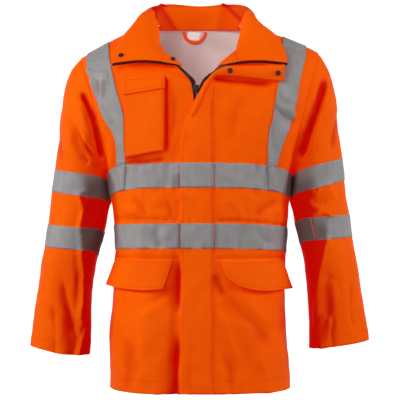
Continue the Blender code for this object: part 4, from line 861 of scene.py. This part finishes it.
for name in ("storm_flap", "chest_pocket", "chest_pocket_flap", "pocket_flap_right", "pocket_flap_left"):
    made[name] = shapeCloth(name, lambda places: bodyMove(places, False), levels=3)
for name in ("lapel_right", "lapel_left"):
    made[name] = shapeCloth(name, collarMove)
made["storm_flap_top"] = shapeCloth("storm_flap_top")
made["hanger_loop"] = shapeCloth("hanger_loop", finish=orangeStraps)
made["neck_label"] = shapeCloth("neck_label", finish=labelWeave)
for name in sorted(nodes):
    if name.startswith(("chest_tape", "waist_tape", "shoulder_tape")):
        made[name] = shapeCloth(name, lambda places, name=name: tapeMove(places, name), finish=silverTape,
                                levels=3 if "front" in name else 2)
    elif name.startswith("sleeve_tape"):
        side = -1 if name.endswith("right") else 1
        made[name] = shapeCloth(name, lambda places, side=side: cuffTapeMove(places, side),
                                finish=silverTape, side=side)
    elif name in ("zip_left", "zip_right"):
        made[name] = shapeCloth(name, lambda places: bodyMove(places, False), finish=zipWeave)
print("bands and trim made")

# thread, teeth and strips lie on the finished cloth
def shellTree(names):
    spots, corners = [], []
    for name in names:
        base = len(spots)
        mesh = made[name].data
        spots += [vertex.co.copy() for vertex in mesh.vertices]
        corners += [[base + k for k in face.vertices] for face in mesh.polygons]
    return BVHTree.FromPolygons(spots, corners)


bodyNames = [name for name in made if not name.startswith(("sleeve", "hanger", "neck", "zip"))]
trees = {
    0: shellTree(bodyNames),
    -1: shellTree([name for name in made if name.startswith("sleeve") and name.endswith("right")]),
    1: shellTree([name for name in made if name.startswith("sleeve") and name.endswith("left")]),
    "back": shellTree(["back", "collar"]),
}
thread = {"length": 0.0028, "width": 0.00075, "height": 0.00050, "pitch": 0.0038, "proud": 0.4,
          "shortest": 0.001, "longest": 0.012}


def resample(path, pitch):
    runs = [(b - a).length for a, b in zip(path, path[1:])]
    count = max(int(sum(runs) / pitch), 1)
    spots = []
    k, past = 0, 0.0
    for step in range(count + 1):
        goal = sum(runs) * step / count
        while k < len(runs) - 1 and past + runs[k] < goal:
            past += runs[k]
            k += 1
        spots.append(path[k].lerp(path[k + 1], min((goal - past) / max(runs[k], 1e-9), 1.0)))
    return spots


def castRow(tree, path, pitch=thread["pitch"], facing=-1):
    # a path seen from the front (-1) or the back (1), laid on the cloth
    row = []
    for spot in resample([Vector((x, 0, z)) for x, z in path], pitch):
        place, normal, face, away = tree.ray_cast(Vector((spot.x, facing, spot.z)), Vector((0, -facing, 0)))
        if place is not None:
            row.append((place, normal))
    return row


def rimRows(name, side, inset, keep, move, tree):
    # along the outer wall's own edge, a little way in, where keep allows it
    work, walls = rawCloth(name)
    wall = set(max(walls, key=lambda wall: facing(wall, side)))
    rims = [edge for edge in work.edges if sum(face in wall for face in edge.link_faces) == 1]
    ways = {}
    for edge in rims:
        face = [face for face in edge.link_faces if face in wall][0]
        middle = (edge.verts[0].co + edge.verts[1].co) / 2
        run = (edge.verts[1].co - edge.verts[0].co).normalized()
        inward = face.calc_center_median() - middle
        inward = (inward - run * inward.dot(run)).normalized()
        for vertex in edge.verts:
            ways.setdefault(vertex.index, []).append((inward, edge))
    chains, seen = [], set()
    for start in rims:
        if start in seen:
            continue
        seen.add(start)
        chain = [start.verts[0], start.verts[1]]
        for end in (1, 0):
            while True:
                tip = chain[-1] if end else chain[0]
                onward = [edge for inward, edge in ways[tip.index] if edge not in seen]
                if not onward:
                    break
                seen.add(onward[0])
                after = onward[0].other_vert(tip)
                chain = chain + [after] if end else [after] + chain
        laid = []
        for vertex in chain:
            inward = sum((way for way, edge in ways[vertex.index]), Vector()).normalized()
            laid.append((vertex.co.copy(), inward))
        chains.append(laid)
    work.free()
    rows = []
    for chain in chains:
        path = []
        for spot, inward in chain + [(None, None)]:
            if spot is not None and keep(spot):
                path.append(spot + inward * inset)
            elif len(path) > 1:
                rows.append(path)
                path = []
            else:
                path = []
    laid = []
    for path in rows:
        spots = resample(path, thread["pitch"])
        if move is not None:
            push, height = move(np.array([tuple(spot) for spot in spots]))
            spots = [spot + Vector(shift) for spot, shift in zip(spots, push)]
        row = []
        for spot in spots:
            place, normal, face, away = tree.find_nearest(spot)
            row.append((place, normal))
        laid.append(row)
    return laid


def lieAlong(run, normal, size, place):
    # sizes a small shape along the run, across it and up from the cloth, and puts it in place
    across = normal.cross(run).normalized()
    turn = Matrix([run * size[0], across * size[1], normal * size[2]]).transposed().to_4x4()
    turn.translation = place
    return turn


def sew(name, rows, finish, on):
    # one short thread between every two points of each row
    whole = bmesh.new()
    for row in rows:
        work = bmesh.new()
        for (place, normal), (after, unused) in zip(row, row[1:]):
            run = after - place
            if not thread["shortest"] < run.length < thread["longest"]:
                continue
            run.normalize()
            size = (thread["length"] / 2, thread["width"] / 2, thread["height"] / 2)
            middle = (place + after) / 2 + normal * size[2] * thread["proud"]
            bmesh.ops.create_uvsphere(work, u_segments=6, v_segments=3, radius=1,
                                      matrix=lieAlong(run, normal, size, middle))
        part = bpy.data.meshes.new("part")
        work.to_mesh(part)
        work.free()
        whole.from_mesh(part)
        bpy.data.meshes.remove(part)
    bmesh.ops.recalc_face_normals(whole, faces=whole.faces)
    sewn = addObject(name, whole, finish)
    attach(sewn, "jacket")
    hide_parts(*on)
    return sewn


def tapeMoveOf(name):
    return lambda places: tapeMove(places, name)


def sleeveMoveOf(side):
    return lambda places: sleeveMove(places, side)


def anywhere(spot):
    return True


seams = {"hem": 0.026, "cuff": 0.022, "tapeEdge": 0.0018, "flapEdge": 0.0016, "foldEdge": 0.0060,
         "hemBelow": -0.728, "cuffBelow": -0.60, "pocketBelow": -0.125}
# the storm flap's rows: two on its stitched side, one on its free edge
flapSeams = {"stitched": (0.0012, 0.0062), "free": 0.0040, "stitchedFrom": 0.0225, "freeFrom": -0.030,
             "foot": -0.735}
# the seams across the fronts: inner and outer end, and the drop of the upper one at its outer end
waistSeams = {"rows": ((-0.0430, -0.1840, 0.0), (0.0290, 0.1860, -0.0130)),
              "upper": (-0.3965, -0.3955, -0.3960), "lower": (-0.4730, -0.4735)}


def onStitchedSide(spot):
    return spot.x > flapSeams["stitchedFrom"] and spot.z > flapSeams["foot"]


bodyRows = []
for name in ("front_right", "front_left", "back"):
    bodyRows += rimRows(name, 0, seams["hem"], lambda spot: spot.z < seams["hemBelow"], bodyMove, trees[0])
for inset in flapSeams["stitched"]:
    bodyRows += rimRows("storm_flap", 0, inset, onStitchedSide, bodyMove, trees[0])
bodyRows += rimRows("storm_flap", 0, flapSeams["free"], lambda spot: spot.x < flapSeams["freeFrom"],
                    bodyMove, trees[0])
for name in ("pocket_flap_right", "pocket_flap_left", "chest_pocket_flap"):
    bodyRows += rimRows(name, 0, seams["foldEdge"], anywhere, bodyMove, trees[0])
bodyRows += rimRows("chest_pocket", 0, seams["flapEdge"], lambda spot: spot.z < seams["pocketBelow"],
                    bodyMove, trees[0])
bodyRows += rimRows("storm_flap_top", 0, seams["flapEdge"], anywhere, None, trees[0])
for near, far, drop in waistSeams["rows"]:
    start, middle, end = waistSeams["upper"]
    upper = [(near, start), ((near + far) / 2, middle + drop * 0.3), (far, end + drop)]
    bodyRows.append(castRow(trees[0], upper))
    bodyRows.append(castRow(trees[0], list(zip((near, far), waistSeams["lower"]))))
sew("bodyStitches", bodyRows, orangeThread, ("front_right", "front_left", "back"))
# the seams above the upper sleeve bands
sleeveSeams = {-1: ((-0.2930, -0.3000), (-0.1860, -0.3140)), 1: ((0.1960, -0.2870), (0.2900, -0.2720))}
for side, word in ((-1, "right"), (1, "left")):
    rows = rimRows("sleeve_" + word, side, seams["cuff"], lambda spot: spot.z < seams["cuffBelow"],
                   sleeveMoveOf(side), trees[side])
    path = sleeveSeams[side]
    rows.append(castRow(trees[side], path))
    rows.append(castRow(trees[side], path, facing=1))
    sew("sleeveStitches_" + word, rows, orangeThread, ("sleeve_" + word,))
tapeRows = []
for name in sorted(made):
    if "_tape_" in name:
        side = 0 if not name.startswith("sleeve") else (-1 if name.endswith("right") else 1)
        move = sleeveMoveOf(side) if side else tapeMoveOf(name)
        tapeRows += rimRows(name, side, seams["tapeEdge"], anywhere, move, trees[side])
sew("tapeStitches", tapeRows, greyThread, [name for name in sorted(made) if "_tape_" in name])
print("seams sewn")


# the strips of shoulder band that run on over the chest band, and the facing of the collar's stand
def strip(name, across, up, point, finish, thick, on):
    work = bmesh.new()
    bmesh.ops.create_grid(work, x_segments=across, y_segments=up, size=0.5)
    for vertex in work.verts:
        vertex.co = point(vertex.co.x + 0.5, vertex.co.y + 0.5)
    bmesh.ops.recalc_face_normals(work, faces=work.faces)
    bmesh.ops.solidify(work, geom=work.faces[:], thickness=thick)
    bmesh.ops.recalc_face_normals(work, faces=work.faces)
    laid = addObject(name, work, finish)
    made[name] = laid
    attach(laid, "jacket")
    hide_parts(*on)
    return laid


def laidPoint(tree, x, z, lift):
    place, normal, face, away = tree.ray_cast(Vector((x, -1, z)), Vector((0, 1, 0)))
    return place + normal * lift


feet = {
    # foot: outer and inner x at the top and at the foot, z at the top and at the foot
    "right": (-0.1690, -0.1500, -0.1625, -0.1545, -0.2760, -0.3385),
    "left": (0.1365, 0.1530, 0.1400, 0.1515, -0.2760, -0.3385),
}
for word, (x0, x1, x2, x3, top, foot) in feet.items():
    def footPoint(a, b, x0=x0, x1=x1, x2=x2, x3=x3, top=top, foot=foot):
        low = x2 + (x3 - x2) * a
        return laidPoint(trees[0], low + (x0 + (x1 - x0) * a - low) * b, foot + (top - foot) * b, 0.0005)
    strip("shoulder_band_foot_" + word, 8, 20, footPoint, silverTape, 0.0004,
          ("shoulder_tape_front_" + word, "chest_tape_" + word))


# sight lines run from the viewer through a grid of even steps, across from its left and down from its top
sight = {"pitch": 0.0021, "middle": 199.5, "level": 200.0}
# the facing's ends at its top and at its foot, then its foot and top, in those steps
standFacing = {"ends": ((151.0, 246.0), (153.5, 243.5)), "foot": 30.8, "top": 7.0, "lift": 0.0018,
               "thickness": 0.0005, "seamBelow": 16, "standDepth": 0.04, "rounds": 6, "sway": 0.0004}
standGrid = (np.arange(148.0, 249.0, 2.0), np.arange(6.0, 31.5, 2.0))
# the two folds that run down from the collar's peaks: place at level 5, and slope
standFolds = {"peak": 5, "left": (160.5, 0.66), "right": (223.5, -0.25),
              "second": (228, 8, 1.05), "secondWidth": 3.2, "width": 3}


def sightLine(across, down):
    aim = Vector(((across - sight["middle"]) * sight["pitch"], view["distance"],
                  -(down - sight["level"]) * sight["pitch"]))
    return Vector((0, -view["distance"], view["height"])), aim


def around(table):
    # each place of a table with its eight neighbours
    near = np.pad(table, 1, mode="edge")
    rows, columns = table.shape
    return [near[i:i + rows, j:j + columns] for i in range(3) for j in range(3)]


def standDepths():
    # how far back the collar's inside and the neck seam below it are, on a grid of sight lines
    found = np.full((len(standGrid[0]), len(standGrid[1])), np.nan)
    for k, across in enumerate(standGrid[0]):
        for n, down in enumerate(standGrid[1]):
            start, aim = sightLine(across, down)
            place, normal, face, away = trees["back"].ray_cast(start, aim.normalized())
            least = 0.0 if down > standFacing["seamBelow"] else standFacing["standDepth"]
            if place is not None and place.y > least:
                found[k, n] = place.y
    # places hidden by the leaves take the depth beside them
    for n in range(found.shape[1]):
        known = np.flatnonzero(~np.isnan(found[:, n]))
        found[:, n] = np.interp(np.arange(len(found)), known, found[known, n]) if len(known) else np.nan
    known = np.flatnonzero(~np.isnan(found[0]))
    for k in range(len(found)):
        found[k] = np.interp(np.arange(found.shape[1]), known, found[k, known])
    found = np.min(around(found), axis=0)
    for turn in range(standFacing["rounds"]):
        found = np.minimum(np.mean(around(found), axis=0), found + standFacing["sway"])
    return found


standTable = standDepths()


def standPoint(a, b):
    ends = standFacing["ends"]
    left = ends[1][0] + (ends[0][0] - ends[1][0]) * b
    right = ends[1][1] + (ends[0][1] - ends[1][1]) * b
    across = left + (right - left) * a
    down = standFacing["foot"] + (standFacing["top"] - standFacing["foot"]) * b
    start, aim = sightLine(across, down)
    column = [np.interp(across, standGrid[0], standTable[:, n]) for n in range(len(standGrid[1]))]
    depth = float(np.interp(down, standGrid[1], column))
    return start + aim * ((depth - standFacing["lift"] + view["distance"]) / view["distance"])


def standShade(across, down):
    # the facing lies in the shade of the two folds and of the seam at its foot
    leftFold = standFolds["left"][0] + (down - standFolds["peak"]) * standFolds["left"][1]
    rightFold = standFolds["right"][0] + (down - standFolds["peak"]) * standFolds["right"][1]
    if across < leftFold:
        shade = 0.92 - 0.40 * min((leftFold - across) / 12, 1.0) * (down > 12) + 0.25 * (across < 157)
    elif across > rightFold:
        place, level, slope = standFolds["second"]
        far = abs(across - (place + (down - level) * slope))
        shade = 0.42 + 0.58 * math.exp(-(far / standFolds["secondWidth"]) ** 2)
    else:
        shade = 0.10 + 0.35 * math.exp(-((across - leftFold) / standFolds["width"]) ** 2)
        shade += 0.3 * math.exp(-((rightFold - across) / standFolds["width"]) ** 2)
    return min(max(shade, 0.85 * smoothStep((down - 29.2) / 1.0)), 1.0)


laid = strip("collarFacing", 60, 18, standPoint, orangeCloth, standFacing["thickness"],
             ("back", "collar"))
shades = []
for vertex in laid.data.vertices:
    scale = view["distance"] / (view["distance"] + vertex.co.y)
    across = vertex.co.x * scale / sight["pitch"] + sight["middle"]
    down = sight["level"] - (vertex.co.z - view["height"]) * scale / sight["pitch"]
    shades.append(standShade(across, down))
layer = laid.data.attributes.new("hollow", "FLOAT", "POINT")
layer.data.foreach_set("value", np.array(shades, np.float32))
print("strips laid")


# moulded teeth on the zip's outer edges, and press studs with a rim
teeth = {"pitch": 0.0023, "size": (0.0014, 0.0052, 0.0020), "inset": 0.0008, "foot": -0.150}


def makeTeeth(name, node):
    tree = shellTree([node])
    rows = rimRows(node, 0, teeth["inset"], lambda spot: spot.z > teeth["foot"], None, tree)
    row = max(rows, key=lambda row: sum((b[0] - a[0]).length for a, b in zip(row, row[1:])))
    spots = resample([place for place, normal in row], teeth["pitch"])
    work = bmesh.new()
    for spot, after in zip(spots, spots[1:]):
        place, normal, face, away = tree.find_nearest(spot)
        run = (after - spot).normalized()
        bmesh.ops.create_cube(work, size=1, matrix=lieAlong(run, normal, teeth["size"], place))
    bmesh.ops.recalc_face_normals(work, faces=work.faces)
    laid = addObject(name, work, toothPlastic, smooth=False)
    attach(laid, "jacket")
    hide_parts(node)


makeTeeth("teethRight", "zip_right")
makeTeeth("teethLeft", "zip_left")

stud = {"profile": ((0.0, 0.0016), (0.0024, 0.0015), (0.0030, 0.0010), (0.0037, 0.0010), (0.0042, 0.0016),
                    (0.0049, 0.0016), (0.0055, 0.0006), (0.0055, -0.0004)), "turns": 28}


def makeStud(name):
    # a spun cap that faces the way of the node's own broad face
    mesh = nodes[name].data
    middle = sum((vertex.co for vertex in mesh.vertices), Vector()) / len(mesh.vertices)
    best = max(mesh.polygons, key=lambda face: face.area * max(-face.normal.y, 0))
    normal = Vector()
    for face in mesh.polygons:
        if face.normal.dot(best.normal) > 0.9:
            normal += face.normal * face.area
    normal.normalize()
    work = bmesh.new()
    ring = [work.verts.new((radius, 0, height)) for radius, height in stud["profile"]]
    edges = [work.edges.new(pair) for pair in zip(ring, ring[1:])]
    bmesh.ops.spin(work, geom=ring + edges, cent=(0, 0, 0), axis=(0, 0, 1), angle=2 * math.pi,
                   steps=stud["turns"], use_merge=True)
    bmesh.ops.remove_doubles(work, verts=work.verts, dist=0.00002)
    bmesh.ops.recalc_face_normals(work, faces=work.faces)
    turn = normal.to_track_quat("Z", "Y").to_matrix().to_4x4()
    turn.translation = middle
    bmesh.ops.transform(work, matrix=turn, verts=work.verts)
    cap = addObject(name + "Stud", work, studEnamel)
    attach(cap, "jacket")
    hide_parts(name)


for name in sorted(nodes):
    if name.startswith("snap_"):
        makeStud(name)
for name in ("zip_slider", "zip_pull"):
    nodes[name].data.materials.clear()
    nodes[name].data.materials.append(sliderEnamel)
print("teeth and studs made")

# what each piece was cut to: width, length, how it is held, what it lies on, and the area of a shaped cut
cuts = {
    "back": (0.56, 0.76, "hung", ("front_right", "front_left"), 0.385),
    "front_right": (0.27, 0.76, "hung", ("back",), 0.176),
    "front_left": (0.28, 0.76, "hung", ("back",), 0.182),
    "sleeve_right": (0.42, 0.63, "hung", ("front_right", "back"), 0.208),
    "sleeve_left": (0.42, 0.63, "hung", ("front_left", "back"), 0.204),
    "collar": (0.115, 0.50, "folded", ("back", "front_right", "front_left"), 0.050),
    "lapel_right": (0.028, 0.055, "folded", ("front_right", "collar"), 0.00125),
    "lapel_left": (0.028, 0.055, "folded", ("front_left", "collar"), 0.00125),
    "storm_flap": (0.066, 0.63, "laid", ("front_left", "front_right"), None),
    "storm_flap_top": (0.045, 0.18, "folded", ("front_left",), 0.0048),
    "chest_pocket": (0.10, 0.165, "laid", ("front_right",), 0.0150),
    "chest_pocket_flap": (0.045, 0.088, "laid", ("chest_pocket",), 0.0033),
    "pocket_flap_left": (0.064, 0.185, "laid", ("front_left",), 0.0098),
    "pocket_flap_right": (0.066, 0.165, "laid", ("front_right",), 0.0097),
    "hanger_loop": (0.010, 0.075, "laid", ("back",), None),
    "neck_label": (0.028, 0.021, "laid", ("back",), None),
    "collarFacing": (0.075, 0.235, "laid", ("back", "collar"), None),
    "shoulder_band_foot_right": (0.018, 0.062, "laid", ("chest_tape_right",), None),
    "shoulder_band_foot_left": (0.017, 0.062, "laid", ("chest_tape_left",), None),
    "zip_left": (0.010, 0.88, "laid", ("front_left",), None),
    "zip_right": (0.010, 0.86, "laid", ("front_right",), None),
}
tapeLengths = {
    "chest_tape_right": (0.240, "front_right"), "chest_tape_left": (0.248, "front_left"),
    "chest_tape_flap": (0.067, "storm_flap"), "chest_tape_back_right": (0.280, "back"),
    "chest_tape_back_left": (0.278, "back"), "waist_tape_right": (0.235, "front_right"),
    "waist_tape_left": (0.245, "front_left"), "waist_tape_flap": (0.066, "storm_flap"),
    "waist_tape_back_right": (0.269, "back"), "waist_tape_back_left": (0.271, "back"),
    "shoulder_tape_front_right": (0.300, "front_right"), "shoulder_tape_front_left": (0.300, "front_left"),
    "shoulder_tape_back_right": (0.335, "back"), "shoulder_tape_back_left": (0.340, "back"),
    "sleeve_tape_upper_right": (0.430, "sleeve_right"), "sleeve_tape_upper_left": (0.422, "sleeve_left"),
    "sleeve_tape_lower_right": (0.412, "sleeve_right"), "sleeve_tape_lower_left": (0.408, "sleeve_left"),
}
for name, (width, length, held, under, area) in cuts.items():
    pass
for name, (length, under) in tapeLengths.items():
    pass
